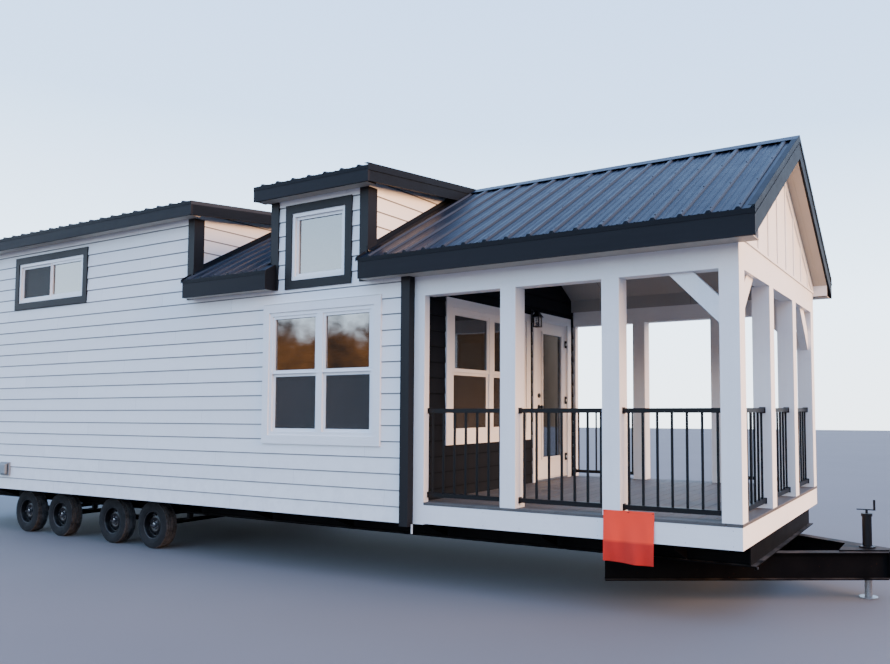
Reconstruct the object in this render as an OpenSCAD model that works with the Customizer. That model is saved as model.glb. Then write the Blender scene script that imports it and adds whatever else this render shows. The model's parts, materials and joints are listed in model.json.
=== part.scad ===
/* [Body] */
// Width of the body over its siding
body_w = 3600; // [3400:10:3900]
// Length of the closed house behind the porch
house_l = 9860; // [9400:10:10200]
// Depth of the porch, from its front board to the siding of the house
porch_l = 3276; // [2900:1:3400]
// Thickness of the framed walls behind the siding
wall_t = 115; // [90:1:140]
// Butt thickness of the lap siding
siding_t = 12; // [12:1:16]
// Height of siding that shows on each course
lap = 165; // [150:1:180]
// How far the siding hangs below the floor frame
siding_drop = 2; // [0:1:40]
// How far the pilasters hang below the floor frame
pilaster_drop = 9; // [0:1:40]
// How far the black corner boards hang below the floor frame
corner_drop = 32; // [0:1:60]
// Thickness of the corner boards, casings and fascias
board_t = 25; // [19:1:30]

/* [Floor] */
// Height of the underside of the floor frame over the ground
floor_clear = 657; // [640:1:760]
// Depth of the floor joists
joist_h = 186; // [140:1:235]
// Thickness of a floor joist
joist_t = 38; // [32:1:50]
// Number of bays between the porch joists
joist_bays = 7; // [4:1:10]
// Thickness of the deck boards and of the house's floor sheet
deck_t = 28; // [20:1:38]

/* [Porch] */
// How far each side of the porch stands in from the side of the house
porch_recess = 72; // [30:1:90]
// How far the pilasters stand out of the siding behind the porch
pilaster_out = 37; // [20:1:60]
// Side of a square porch post
post_w = 171; // [120:1:190]
// Spacing of the posts along the sides of the porch
side_bay = 1077; // [950:1:1150]
// Clear height from the deck to the porch beams
head_h = 2101; // [2060:1:2150]
// Depth of the side beams
beam_h = 198; // [150:1:230]
// How much deeper the front beam is than the side beams
front_beam_extra = 55; // [0:1:60]
// Width of the porch beams
beam_w = 140; // [100:1:165]
// Width of the black corner boards
corner_w = 112; // [90:1:200]
// Width of the white pilaster on each side of the porch
pilaster_w = 132; // [110:1:220]
// Width of the pilaster across the house front
pilaster_return = 78; // [70:1:120]
// How far the black corner boards return across the rear
rear_return = 133; // [127:1:150]
// Reach of a knee brace along the beam
brace_run = 462; // [300:1:500]
// Depth of a knee brace
brace_w = 157; // [90:1:170]
// Thickness of a knee brace
brace_t = 90; // [60:1:110]
// Vertical depth of the rafters between the roof and the porch ceiling
rafter_h = 215; // [180:1:240]
// Thickness of the ceiling sheets
ceiling_t = 12; // [8:1:20]
// Spacing of the battens on the front gable
batten_pitch = 406; // [300:1:500]
// Width of a batten
batten_w = 45; // [30:1:60]

/* [Railing] */
// Height of the railing over the deck
rail_h = 941; // [900:1:1070]
// Height of the top and bottom rails
rail_t = 42; // [30:1:50]
// Gap under the bottom rail
rail_gap = 49; // [30:1:80]
// Width of the top and bottom rails
rail_w = 45; // [30:1:60]
// Side of a square baluster
baluster_t = 19; // [12:1:25]
// Wanted spacing of the balusters
baluster_pitch = 128; // [100:1:140]
// Distance from a post to the middle of the first baluster
baluster_end = 50; // [40:1:70]

/* [Roof] */
// Pitch of the main roof in degrees
roof_pitch = 31.4; // [24:0.1:34]
// Overhang of the main eaves
eave_out = 150; // [120:1:300]
// Overhang of the main roof at the front gable
rake_out = 192; // [100:1:250]
// Vertical thickness of roof sheathing and sheet metal
roof_t = 45; // [35:1:60]
// Depth of the main fascia below the roof edge
fascia_h = 173; // [120:1:200]
// Height of a main rib of the sheet metal
rib_h = 19; // [12:1:25]
// Spacing of the main ribs
rib_pitch = 242; // [200:0.1:305]
// Height of the small stiffening ribs
minor_rib_h = 4; // [2:0.5:6]
// Width of each leg of the ridge cap
ridge_leg = 150; // [100:1:200]
// Thickness of the ridge cap
ridge_t = 4; // [2:0.5:6]

/* [Dormers] */
// Length of the front dormer
dormer_l = 1449; // [1300:1:1500]
// Distance from the porch to the front dormer
dormer_gap = 677; // [600:1:800]
// Length of main roof that shows between the two dormers
roof_strip_l = 1388; // [1100:1:1500]
// Pitch of the dormer roofs in degrees
dormer_pitch = 6.5; // [4:0.1:9]
// Height of the dormer ridge over the main ridge
dormer_lift = 5; // [5:1:60]
// Overhang of the dormer eaves
dormer_eave_out = 160; // [120:1:260]
// Overhang of the dormer roofs at their ends
dormer_rake_out = 140; // [100:1:200]
// Depth of the dormer fascia below the roof edge
dormer_fascia_h = 127; // [100:1:160]
// Width of the black corner boards of the dormers
dormer_board_w = 107; // [80:1:130]
// How far the eave box of the roof strip passes the front dormer's corner
eave_pass = 65; // [40:1:150]

/* [Windows] */
// Width of the double window
double_w = 1568; // [1400:1:1600]
// Height of the double window
double_h = 1392; // [1200:1:1500]
// Height of the double window's sill over the deck
double_sill = 650; // [600:1:800]
// Distance from the porch to the middle of the side window
side_window_at = 1356; // [1300:1:1600]
// Width of siding between the casings of the porch window and the door
window_door_gap = 70.5; // [66:0.5:90]
// Width of the dormer window
dormer_window_w = 808; // [600:1:850]
// Height of the dormer window
dormer_window_h = 769; // [650:1:800]
// Distance from the dormer's soffit down to the dormer window
dormer_window_drop = 157; // [125:1:180]
// Width of the loft window
loft_window_w = 1630; // [1300:1:1700]
// Height of the loft window
loft_window_h = 582; // [450:1:700]
// Distance from the dormer's soffit down to the loft window
loft_window_drop = 214; // [125:1:300]
// Width of the casing boards round the windows and door
casing_w = 97; // [70:1:100]
// Width of a window frame's members
frame_w = 40; // [30:1:60]
// Width of the sash members
sash_w = 36; // [28:1:50]
// Depth of a window frame
frame_d = 85; // [70:1:90]
// Thickness of the glass units
glass_t = 18; // [6:1:24]

/* [Door] */
// Width of the door leaf
leaf_w = 813; // [760:1:860]
// Height of the door leaf
leaf_h = 2050; // [1950:1:2080]
// Thickness of the door leaf
leaf_t = 45; // [38:1:50]
// Distance from the far side to the middle of the door
door_at = 769; // [740:1:800]
// Gap between the leaf and its frame
leaf_gap = 5; // [5:0.5:8]
// Thickness of the door jambs
jamb_t = 32; // [25:1:40]
// Width of the glass in the door
door_glass_w = 508; // [400:1:560]
// Height of the leaf below its glass
door_bottom_rail = 270; // [200:1:320]
// Height of the leaf above its glass
door_top_rail = 150; // [120:1:200]
// Height of the threshold
threshold_h = 29; // [20:1:32]
// Radius of a hinge knuckle
knuckle_r = 7; // [6:0.5:9]
// Length of a hinge knuckle
knuckle_h = 33; // [20:1:40]
// Height of the latch over the deck
latch_z = 963; // [900:1:1000]
// Height of the deadbolt over the latch
bolt_rise = 150; // [120:1:180]

/* [Chassis] */
// Depth of the main rails
rail_beam_h = 196; // [150:1:203]
// Flange width of the main rails
rail_beam_w = 100; // [80:1:130]
// Thickness of the beam flanges
flange_t = 10; // [8:1:16]
// Thickness of the beam webs
web_t = 7; // [5:1:12]
// Distance from the side of the body to a main rail
rail_inset = 437; // [425:1:470]
// Depth of the drawbar beams
drawbar_h = 254; // [203:1:254]
// Flange width of the drawbar beams
drawbar_w = 118; // [90:1:140]
// Distance from the porch front back to the drawbar's rear end
drawbar_back = 1420; // [1200:1:1500]
// Distance from the porch front to the tip of the drawbar
drawbar_out = 944; // [820:1:1000]
// Length of the coupler ahead of the drawbar
coupler_l = 240; // [200:1:280]
// Radius of the coupler's ball socket
ball_r = 29.4; // [25.4:0.1:31]
// Radius of the jack's outer tube
jack_r = 44; // [35:1:60]
// Radius of the jack's sliding leg
jack_leg_r = 35; // [28:1:38]
// Distance from the drawbar tip back to the jack
jack_back = 198; // [185:1:230]

/* [Wheels] */
// Tyre diameter
wheel_d = 610; // [560:1:620]
// Tyre width
tyre_w = 175; // [150:1:185]
// Rim diameter over its flange
rim_d = 354; // [330:1:380]
// Distance from the side of the body to the tyre
wheel_inset = 215; // [205:1:225]
// Distance between the two axles of a pair
axle_pitch = 870; // [800:1:900]
// Distance between the inner axles of the two pairs
axle_gap = 1249; // [1100:1:1300]
// Distance from the porch front to the middle of the axles
axles_at = 9324; // [8800:1:9500]
// Radius of an axle tube
axle_r = 30; // [25:1:38]
// Radius of a wheel spindle
spindle_r = 20; // [16:1:24]
// Running clearance between spindle and hub
spindle_clear = 0.05; // [0.02:0.01:0.1]

/* [Hidden] */
$fn = 48;

hw = body_w / 2;
front_wall_x = -porch_l;
sheath_x = front_wall_x - siding_t;
rear_x = -(porch_l + house_l);
phw = hw - porch_recess;
pilaster_x = front_wall_x + pilaster_out;
corner_x = pilaster_x - pilaster_w;
core_w = hw - siding_t;
inner_w = core_w - wall_t;

deck_z = floor_clear + joist_h + deck_t;
siding_z = floor_clear - siding_drop;
beam_z = deck_z + head_h;
eave_z = beam_z + beam_h;
roof_edge_z = eave_z + fascia_h + roof_t;
slope = tan(roof_pitch);
ridge_z = roof_edge_z + (hw + eave_out) * slope;
dormer_slope = tan(dormer_pitch);
dormer_ridge_z = ridge_z + dormer_lift;
dormer_edge = hw + dormer_eave_out;
dormer_eave_z = dormer_ridge_z - dormer_edge * dormer_slope - roof_t - dormer_fascia_h;

dormer_front = -(porch_l + dormer_gap);
dormer_back = dormer_front - dormer_l;
loft_front = dormer_back - roof_strip_l;
eave_pass_x = dormer_back + eave_pass;

rail_z = floor_clear - rail_beam_h;
rail_y = hw - rail_inset;
header_x = -33;
drawbar_z = rail_z - drawbar_h;
drawbar_tail_y = rail_y - rail_beam_w / 2;
drawbar_tip_y = drawbar_w / 2;
coupler_tip = drawbar_out + coupler_l;

wheel_r = wheel_d / 2;
wheel_y = hw - wheel_inset;
axle_x = [
  -axles_at + axle_gap / 2 + axle_pitch,
  -axles_at + axle_gap / 2,
  -axles_at - axle_gap / 2,
  -axles_at - axle_gap / 2 - axle_pitch
];

// Clearance where one piece seats on another at a slope or round a bore
seat = 0.3;

// The part's origin is under the middle of its outline, on the ground.
front_x = -(coupler_tip + rear_x - dormer_rake_out) / 2;

leaf_y0 = hw - door_at - leaf_w / 2;
leaf_y1 = hw - door_at + leaf_w / 2;
leaf_z = deck_z + threshold_h + leaf_gap;
jamb_y0 = leaf_y0 - leaf_gap - jamb_t;
jamb_y1 = leaf_y1 + leaf_gap + jamb_t;
jamb_z1 = leaf_z + leaf_h + leaf_gap + jamb_t;
hinge_x = sheath_x + knuckle_r + 2;
hinge_y = leaf_y1 + leaf_gap / 2;
hinge_inset = 250;
hinge_z = [leaf_z + hinge_inset, leaf_z + leaf_h / 2, leaf_z + leaf_h - hinge_inset];

lap_taper = siding_t - 3;

// Height of the roof's pan at a distance from the middle
function main_roof_z(y) = ridge_z - abs(y) * slope;
function dormer_roof_z(y) = dormer_ridge_z - abs(y) * dormer_slope;

// Points of a lapped face: d is the depth behind the outermost butt. The last
// course ends on a line that starts at top and climbs by rise for each unit of depth.
function lap_face(z0, top, rise) = let (n = ceil((top - z0) / lap)) [
  for (i = [0 : n - 1]) each [
    [0, z0 + i * lap],
    i == n - 1 ? [lap_taper, top + lap_taper * rise] : [lap_taper, z0 + (i + 1) * lap]
  ]
];

// Top line of ribbed sheet metal from x0 to x1, with two small ribs in each bay
function rib_line(x0, x1) = let (n = floor((x1 - x0 - 100) / rib_pitch), start = (x0 + x1 - n * rib_pitch) / 2) [
  for (i = [0 : n]) let (x = start + i * rib_pitch) each concat(
    [[x - 30, 0], [x - 13, rib_h], [x + 13, rib_h], [x + 30, 0]],
    i == n ? [] : [for (k = [1, 2]) let (m = x + k * rib_pitch / 3) each
      [[m - 12, 0], [m - 6, minor_rib_h], [m + 6, minor_rib_h], [m + 12, 0]]]
  )
];

module placed() { translate([front_x, 0, 0]) children(); }
module both_sides() { children(); mirror([0, 1, 0]) children(); }
module box(a, b) { translate(a) cube(b - a); }
// A profile drawn in Y and Z, run along X
module along_x(x0, x1) { translate([x0, 0, 0]) rotate([90, 0, 90]) linear_extrude(x1 - x0) children(); }
// A profile drawn in X and Z, run along Y
module along_y(y0, y1) { translate([0, y1, 0]) rotate([90, 0, 0]) linear_extrude(y1 - y0) children(); }

// An I-beam along X, its top at z = 0 and its middle at y = 0
module i_beam(length, h, w) {
  along_x(0, length) polygon([
    [-w / 2, 0], [w / 2, 0], [w / 2, -flange_t], [web_t / 2, -flange_t],
    [web_t / 2, flange_t - h], [w / 2, flange_t - h], [w / 2, -h], [-w / 2, -h],
    [-w / 2, flange_t - h], [-web_t / 2, flange_t - h], [-web_t / 2, -flange_t], [-w / 2, -flange_t]
  ]);
}

module main_rails() {
  x0 = rear_x + siding_t + wall_t + seat;
  color("#1c1c1e") placed() both_sides()
    translate([x0, -rail_y + rail_beam_w / 2, floor_clear])
      i_beam(header_x - web_t * 2 - x0, rail_beam_h, rail_beam_w);
}

cross_h = 100;
cross_t = 50;
cross_bays = 5;
cross_first = -600;
cross_last = axle_x[0] + axle_pitch * 0.8;
cross_x = [
  for (i = [0 : cross_bays]) cross_first + i * (cross_last - cross_first) / cross_bays,
  axle_x[3] - axle_pitch * 0.75,
  rear_x + axle_pitch * 0.4
];
// Cross channels between the rails and tapered outriggers beyond them
module cross_members() {
  web_y = rail_y - rail_beam_w / 2 - web_t / 2;
  color("#1c1c1e") placed() for (x = cross_x) {
    translate([x, 0, floor_clear - 30]) difference() {
      box([0, -web_y, -cross_h], [cross_t, web_y, 0]);
      box([5, -web_y, 5 - cross_h], [cross_t, web_y, -5]);
      both_sides() for (z = [-flange_t * 2, -rail_beam_h])
        box([-1, -web_y - 1, z], [cross_t + 1, -rail_y + rail_beam_w, z + flange_t * 2]);
    }
    both_sides() along_x(x, x + 6) polygon([
      [-rail_y, floor_clear], [-inner_w, floor_clear], [-inner_w, floor_clear - 45],
      [-rail_y, floor_clear - rail_beam_h + 20]
    ]);
  }
}

module front_header() {
  x1 = header_x;
  x0 = header_x - web_t * 2;
  color("#1c1c1e") placed() {
    box([x0, -rail_y, rail_z], [x1, rail_y, floor_clear]);
    box([x1, -rail_y, rail_z], [x1 + 45, rail_y, rail_z + flange_t]);
  }
}

bar_run = drawbar_out + drawbar_back;
bar_side = drawbar_tail_y - drawbar_tip_y;
bar_turn = atan(bar_side / bar_run);
bar_len = sqrt(bar_run * bar_run + bar_side * bar_side);
jack_plate_t = 12;
jack_plate_l = 420;
// Two beams of the A-frame, cut off square where they meet the coupler, and the jack's plate
module drawbar() {
  color("#1c1c1e") placed() {
    difference() {
      intersection() {
        both_sides() translate([-drawbar_back, -drawbar_tail_y, rail_z]) rotate([0, 0, bar_turn])
          i_beam(bar_len + 200, drawbar_h, drawbar_w);
        box([-drawbar_back - 200, -hw, 0], [drawbar_out, hw, rail_z]);
      }
      translate([drawbar_out - jack_back, 0, 0]) cylinder(r = jack_r + seat, h = rail_z);
    }
    difference() {
      translate([0, 0, rail_z]) linear_extrude(jack_plate_t) polygon([
        [drawbar_out - jack_plate_l, -jack_plate_l * 0.56 - 30], [drawbar_out, -60],
        [drawbar_out, 60], [drawbar_out - jack_plate_l, jack_plate_l * 0.56 + 30]
      ]);
      translate([drawbar_out - jack_back, 0, rail_z - 1]) cylinder(r = jack_r + seat, h = jack_plate_t + 2);
    }
  }
}

module coupler() {
  x0 = drawbar_out;
  z0 = rail_z - 170;
  socket_x = x0 + coupler_l - 60;
  color("#232325") placed() {
    difference() {
      union() {
        box([x0, -95, drawbar_z + 20], [x0 + 14, 95, rail_z]);
        along_y(-38, 38) polygon([
          [x0 + 14, z0 + 20], [x0 + 14, rail_z - 10], [x0 + 60, rail_z - 20],
          [socket_x, z0 + 95], [socket_x, z0 + 20]
        ]);
        translate([socket_x, 0, z0]) cylinder(r = 60, h = 100);
      }
      translate([socket_x, 0, z0 - 1]) cylinder(r = ball_r, h = 61);
    }
    translate([socket_x, 0, z0 + 100]) cylinder(r = 14, h = 26);
    along_y(-8, 8) polygon([
      [socket_x - 40, z0 + 126], [socket_x + 20, z0 + 126], [socket_x + 20, z0 + 138], [socket_x - 60, z0 + 150]
    ]);
  }
}

jack_x = drawbar_out - jack_back;
jack_top = 772;
jack_low = 175;
jack_foot_t = 10;
jack_travel = jack_low - jack_foot_t - 5;
jack_leg_top = jack_top - jack_travel - 40;
jack_bore_top = jack_top - 20;
// The fixed tube of a screw jack, with a collar on the drawbar's plate and a crank on top
module tongue_jack() {
  collar_z = rail_z + jack_plate_t;
  color("#232325") placed() translate([jack_x, 0, 0]) {
    difference() {
      union() {
        translate([0, 0, jack_low]) cylinder(r = jack_r, h = jack_top - jack_low);
        translate([0, 0, collar_z]) cylinder(r = jack_r + 30, h = 14);
      }
      translate([0, 0, jack_low - 1]) cylinder(r = jack_leg_r + seat, h = jack_bore_top - jack_low + 1);
    }
    translate([0, 0, jack_top]) cylinder(r = jack_r + 8, h = 26);
    translate([0, 0, jack_top + 26]) cylinder(r = 12, h = 30);
    translate([-10, 0, jack_top + 56]) {
      box([-80, -10, 0], [90, 10, 10]);
      translate([80, 0, 10]) cylinder(r = 11, h = 90);
    }
  }
}

module jack_leg() {
  color("#8a8c8e") placed() translate([jack_x, 0, 0]) {
    cylinder(r = 85, h = jack_foot_t);
    translate([0, 0, jack_foot_t]) cylinder(r = jack_leg_r, h = jack_leg_top - jack_foot_t);
  }
}

spring_w = 50;
hub_depth = 70;
// Four axle tubes with a spindle at each end
module axles() {
  color("#2a2a2c") placed() for (x = axle_x) translate([x, 0, wheel_r]) rotate([90, 0, 0]) {
    cylinder(r = axle_r, h = 2 * (wheel_y - tyre_w - 12), center = true);
    cylinder(r = spindle_r, h = 2 * (wheel_y - tyre_w + hub_depth), center = true);
  }
}

spring_half = axle_pitch / 2 - 25;
spring_sag = 50;
spring_t = 26;
spring_r = (spring_half * spring_half + spring_sag * spring_sag) / (2 * spring_sag);
// Arched leaves over the axles, hung from plates under the rails
module leaf_springs() {
  y0 = rail_y - rail_beam_w / 2 - spring_w / 2;
  eye_z = wheel_r + axle_r + spring_sag;
  color("#3a3a3c") placed() both_sides() for (x = axle_x) translate([x, 0, 0]) {
    along_y(-y0 - spring_w, -y0) intersection() {
      translate([0, wheel_r + axle_r + spring_r]) difference() {
        circle(r = spring_r, $fn = 180);
        circle(r = spring_r - spring_t, $fn = 180);
      }
      translate([-spring_half, wheel_r + axle_r]) square([2 * spring_half, spring_sag + 10]);
    }
    for (s = [-1, 1]) translate([s * spring_half, 0, 0])
      box([-22, -y0 - spring_w - 6, eye_z + 10], [22, -y0 + 6, rail_z]);
  }
}

hub_r = 42;
// A tyre on a steel rim with a dished centre, its outer face at y = 0
module wheel_shape() {
  rr = rim_d / 2;
  color("#202022") rotate([-90, 0, 0]) {
    rotate_extrude($fn = 72) polygon([
      [rr - 6, 18], [rr + 45, 4], [wheel_r - 52, 4], [wheel_r - 20, 16], [wheel_r - 6, 34], [wheel_r, 60],
      [wheel_r, tyre_w - 60], [wheel_r - 6, tyre_w - 34], [wheel_r - 20, tyre_w - 16],
      [wheel_r - 52, tyre_w - 4], [rr + 45, tyre_w - 4], [rr - 6, tyre_w - 18]
    ]);
    difference() {
      rotate_extrude($fn = 72) polygon([
        [spindle_r + spindle_clear, 46], [hub_r - 12, 46], [hub_r, 52], [hub_r, 66], [60, 66], [90, 52],
        [120, 62], [rr - 28, 62], [rr - 20, 24], [rr - 6, 18], [rr - 6, tyre_w - 18], [rr - 14, tyre_w - 18],
        [rr - 26, 74], [118, 74], [90, 64], [60, 78], [hub_r, 78], [hub_r, 150],
        [spindle_r + spindle_clear, 150]
      ]);
      for (a = [0 : 36 : 324]) rotate([0, 0, a]) translate([rr - 45, 0, 40]) cylinder(r = 9, h = 50);
    }
    translate([0, 0, 34]) cylinder(r = hub_r - 12, h = 12);
    for (a = [0 : 72 : 288]) rotate([0, 0, a]) translate([54, 0, 52]) cylinder(r = 8, h = 14);
  }
}
module near_wheel(i) { placed() translate([axle_x[i], -wheel_y, wheel_r]) wheel_shape(); }
module far_wheel(i) { placed() translate([axle_x[i], wheel_y, wheel_r]) mirror([0, 1, 0]) wheel_shape(); }

module house_floor() {
  color("#b9a27c") placed()
    box([rear_x + siding_t + wall_t, -inner_w, floor_clear], [sheath_x, inner_w, deck_z]);
}

// The space of the white pilasters, which the porch floor is cut round
module pilaster_space() {
  both_sides() box([sheath_x - 1, -hw - board_t, 0], [pilaster_x, -phw + pilaster_return, eave_z]);
}
// Joists across the porch inside a rim
module porch_joists() {
  x0 = sheath_x;
  x1 = -board_t;
  y1 = phw - board_t;
  pitch = (x1 - x0 - joist_t) / joist_bays;
  color("#c2a878") placed() difference() {
    union() {
      both_sides() box([x0, -y1, floor_clear], [x1, -y1 + joist_t, floor_clear + joist_h]);
      for (i = [0 : joist_bays]) translate([x0 + i * pitch, 0, 0])
        box([0, -y1, floor_clear], [joist_t, y1, floor_clear + joist_h]);
    }
    pilaster_space();
  }
}

nosing = 4;
module porch_deck() {
  color("#77797b") placed() difference() {
    box([sheath_x, -phw - nosing, deck_z - deck_t], [nosing, phw + nosing, deck_z]);
    pilaster_space();
  }
}

module porch_fascia() {
  z1 = deck_z - deck_t;
  color("#eeeeec") placed() difference() {
    box([pilaster_x, -phw, floor_clear], [0, phw, z1]);
    box([sheath_x, -phw + board_t, floor_clear - 1], [-board_t, phw - board_t, z1 + 1]);
  }
}

// Windows: place along the wall, sill height, width, height
side_windows = [
  [-(porch_l + side_window_at), deck_z + double_sill, double_w, double_h],
  [(dormer_front + dormer_back) / 2, dormer_eave_z - dormer_window_drop - dormer_window_h, dormer_window_w, dormer_window_h],
  [(loft_front + rear_x) / 2, dormer_eave_z - loft_window_drop - loft_window_h, loft_window_w, loft_window_h]
];

// The hole for a window and the pocket for its casing, on a wall whose outermost face is y = 0
module window_cut(w) {
  box([w[0] - w[2] / 2, -1, w[1]], [w[0] + w[2] / 2, wall_t + siding_t + 1, w[1] + w[3]]);
  box([w[0] - w[2] / 2 - casing_w, -1, w[1] - casing_w], [w[0] + w[2] / 2 + casing_w, siding_t, w[1] + w[3] + casing_w]);
}

// One stretch of the side wall under a roof line
module wall_run(x0, x1, top, rise) {
  along_x(x0, x1) polygon([for (p = concat(
    lap_face(siding_z, top, rise),
    [[siding_t + wall_t, top + (siding_t + wall_t) * rise], [siding_t + wall_t, siding_z]]
  )) [p[0], p[1]]]);
}

// The near side wall, with lapped siding and the dormer fronts in the same plane
module side_wall() {
  top = main_roof_z(hw) - roof_t;
  dormer_top = dormer_roof_z(hw) - roof_t;
  color("#eeeeec") placed() translate([0, -hw, 0]) difference() {
    union() {
      wall_run(dormer_front, corner_x - board_t, top, slope);
      wall_run(dormer_back, dormer_front, dormer_top, dormer_slope);
      wall_run(loft_front, dormer_back, top, slope);
      wall_run(rear_x + siding_t, loft_front, dormer_top, dormer_slope);
    }
    for (w = side_windows) window_cut(w);
    box([corner_x - corner_w, -1, 0], [corner_x, siding_t, ridge_z]);
    box([rear_x, -1, 0], [rear_x + siding_t + corner_w, siding_t, dormer_ridge_z]);
    for (x = [dormer_front - dormer_board_w, dormer_back, loft_front - dormer_board_w])
      box([x, -1, eave_z], [x + dormer_board_w, siding_t, dormer_ridge_z]);
  }
}
module near_wall() { side_wall(); }
module far_wall() { mirror([0, 1, 0]) side_wall(); }

// A wall across the house between the side walls: its outermost face at x = 0 looks
// towards -X, and the siding stops at face_half where the corner boards begin
module cross_wall(z0, top, y0, y1, face_half) {
  difference() {
    along_y(y0, y1) polygon(concat(lap_face(z0, top, 0), [[siding_t + wall_t, top], [siding_t + wall_t, z0]]));
    both_sides() box([-1, face_half, 0], [siding_t, hw, top + 1]);
  }
}
module under_roof(x0, x1, roof_ridge, roof_slope) {
  along_x(x0, x1) polygon([
    [-hw - 50, 0], [hw + 50, 0], [hw + 50, roof_ridge - roof_t - (hw + 50) * roof_slope],
    [0, roof_ridge - roof_t], [-hw - 50, roof_ridge - roof_t - (hw + 50) * roof_slope]
  ]);
}

module rear_wall() {
  color("#eeeeec") placed() intersection() {
    difference() {
      translate([rear_x, 0, 0]) cross_wall(siding_z, dormer_ridge_z, -inner_w, inner_w, hw - rear_return);
      translate([rear_x, 0, 0]) rotate([0, 0, -90]) window_cut([0, deck_z + double_sill, double_w, double_h]);
    }
    under_roof(rear_x - 1, rear_x + siding_t + wall_t + 1, dormer_ridge_z, dormer_slope);
  }
}

// The last course line of the side walls below the deck, where the porch wall's courses start
course_z = siding_z + lap * floor((deck_z - siding_z) / lap);
// The dark wall behind the porch, in three pieces round the doorway
module porch_wall(y0, y1, z0) {
  color("#26282b") placed() intersection() {
    difference() {
      translate([front_wall_x, 0, 0]) mirror([1, 0, 0])
        cross_wall(course_z, ridge_z, y0, y1, phw - pilaster_return);
      translate([front_wall_x, 0, 0]) rotate([0, 0, 90])
        window_cut([porch_window_at - hw, deck_z + double_sill, double_w, double_h]);
      box([sheath_x, door_casing_y0, 0], [0, door_casing_y1, door_casing_z1]);
      box([sheath_x - wall_t - 1, -hw, 0], [0, hw, z0]);
    }
    under_roof(front_wall_x - siding_t - wall_t - 1, front_wall_x + 1, ridge_z, slope);
  }
}
module porch_wall_near() { porch_wall(-inner_w, jamb_y0, deck_z); }
module porch_wall_far() { porch_wall(jamb_y1, inner_w, deck_z); }
module porch_wall_head() { porch_wall(jamb_y0, jamb_y1, jamb_z1); }

// A dormer's end wall between the main roof and the dormer roof, lapped face towards +X at x
module cheek(x, flip) {
  z0 = siding_z + lap * floor((main_roof_z(inner_w) - roof_t - siding_z) / lap);
  intersection() {
    translate([x, 0, 0]) mirror([flip ? 1 : 0, 0, 0]) along_y(-inner_w, inner_w) polygon([for (p = concat(
      lap_face(z0, dormer_ridge_z, 0),
      [[siding_t + wall_t, dormer_ridge_z], [siding_t + wall_t, z0]]
    )) [-p[0], p[1]]]);
    along_x(x - 200, x + 200) polygon([
      [-inner_w, main_roof_z(inner_w) - roof_t], [0, ridge_z - roof_t], [inner_w, main_roof_z(inner_w) - roof_t],
      [inner_w, dormer_roof_z(inner_w) - roof_t], [0, dormer_ridge_z - roof_t], [-inner_w, dormer_roof_z(inner_w) - roof_t]
    ]);
  }
}
module dormer_cheeks() {
  color("#eeeeec") placed() {
    cheek(dormer_front, false);
    cheek(dormer_back, true);
    cheek(loft_front, false);
  }
}

board_out = board_t - siding_t;
// A corner board on the near face, from x0 to x1
module face_board(x0, x1, z0, z1) {
  box([x0, -hw - board_out, z0], [x1, -core_w, z1]);
}
module black_corner_boards() {
  z0 = floor_clear - corner_drop;
  top = dormer_eave_z;
  color("#1e2024") placed() both_sides() {
    face_board(corner_x - corner_w, corner_x, z0, eave_z);
    box([corner_x - board_t, -hw - board_out, z0], [corner_x, -phw, eave_z]);
    difference() {
      box([rear_x - board_out, -hw - board_out, z0], [rear_x + siding_t + corner_w, -hw + rear_return, top]);
      box([rear_x + siding_t, -core_w, 0], [rear_x + corner_w + 50, hw, top + 1]);
    }
    for (c = [[dormer_front, 1], [dormer_back, -1], [loft_front, 1]]) {
      x0 = c[1] > 0 ? c[0] - dormer_board_w : c[0];
      face_board(x0, x0 + dormer_board_w, eave_z, top);
      edge = c[1] > 0 ? c[0] : c[0] - board_out;
      difference() {
        box([edge, -hw - board_out, eave_z], [edge + board_out, -inner_w, top]);
        along_x(edge - 1, edge + board_out + 1) polygon([
          [-hw - eave_out, 0], [-inner_w + 1, 0], [-inner_w + 1, main_roof_z(inner_w - 1) + rib_h * 1.2],
          [-hw - eave_out, main_roof_z(hw + eave_out) + rib_h * 1.2]
        ]);
      }
    }
  }
}
// Posts against the house that carry the porch beams, wrapped round the end of each side wall
module white_pilasters() {
  z0 = floor_clear - pilaster_drop;
  color("#eeeeec") placed() both_sides() translate([0, 0, z0]) linear_extrude(eave_z - z0) polygon([
    [corner_x - board_t, -phw], [pilaster_x, -phw], [pilaster_x, -phw + pilaster_return],
    [sheath_x, -phw + pilaster_return], [sheath_x, -inner_w], [corner_x - board_t, -inner_w]
  ]);
}

side_post_x = [for (i = [0 : 2]) -post_w / 2 - i * side_bay];
front_post_pitch = (2 * phw - post_w) / 3;
module post(x, y) { box([x - post_w / 2, y - post_w / 2, deck_z], [x + post_w / 2, y + post_w / 2, beam_z]); }
module porch_posts() {
  color("#f0f0ee") placed() {
    both_sides() for (x = side_post_x) post(x, -phw + post_w / 2);
    both_sides() post(-post_w / 2, -front_post_pitch / 2);
  }
}

beam_top = eave_z + front_beam_extra;
// Beams round three sides of the porch
module porch_beams() {
  color("#f0f0ee") placed() {
    both_sides() box([pilaster_x, -phw, beam_z], [-beam_w, -phw + beam_w, eave_z]);
    box([-beam_w, -phw, beam_z], [0, phw, beam_top]);
  }
}

batten_d = 12;
module front_gable() {
  color("#f0f0ee") placed() intersection() {
    union() {
      box([-beam_w, -phw, beam_top], [-batten_d, phw, ridge_z]);
      both_sides() for (i = [0 : floor((phw - batten_w) / batten_pitch - 0.5)]) translate([0, -batten_pitch * (i + 0.5), 0])
        box([-batten_d, -batten_w / 2, beam_top], [0, batten_w / 2, ridge_z]);
    }
    under_roof(-beam_w - 1, 1, ridge_z, slope);
  }
}

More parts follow.
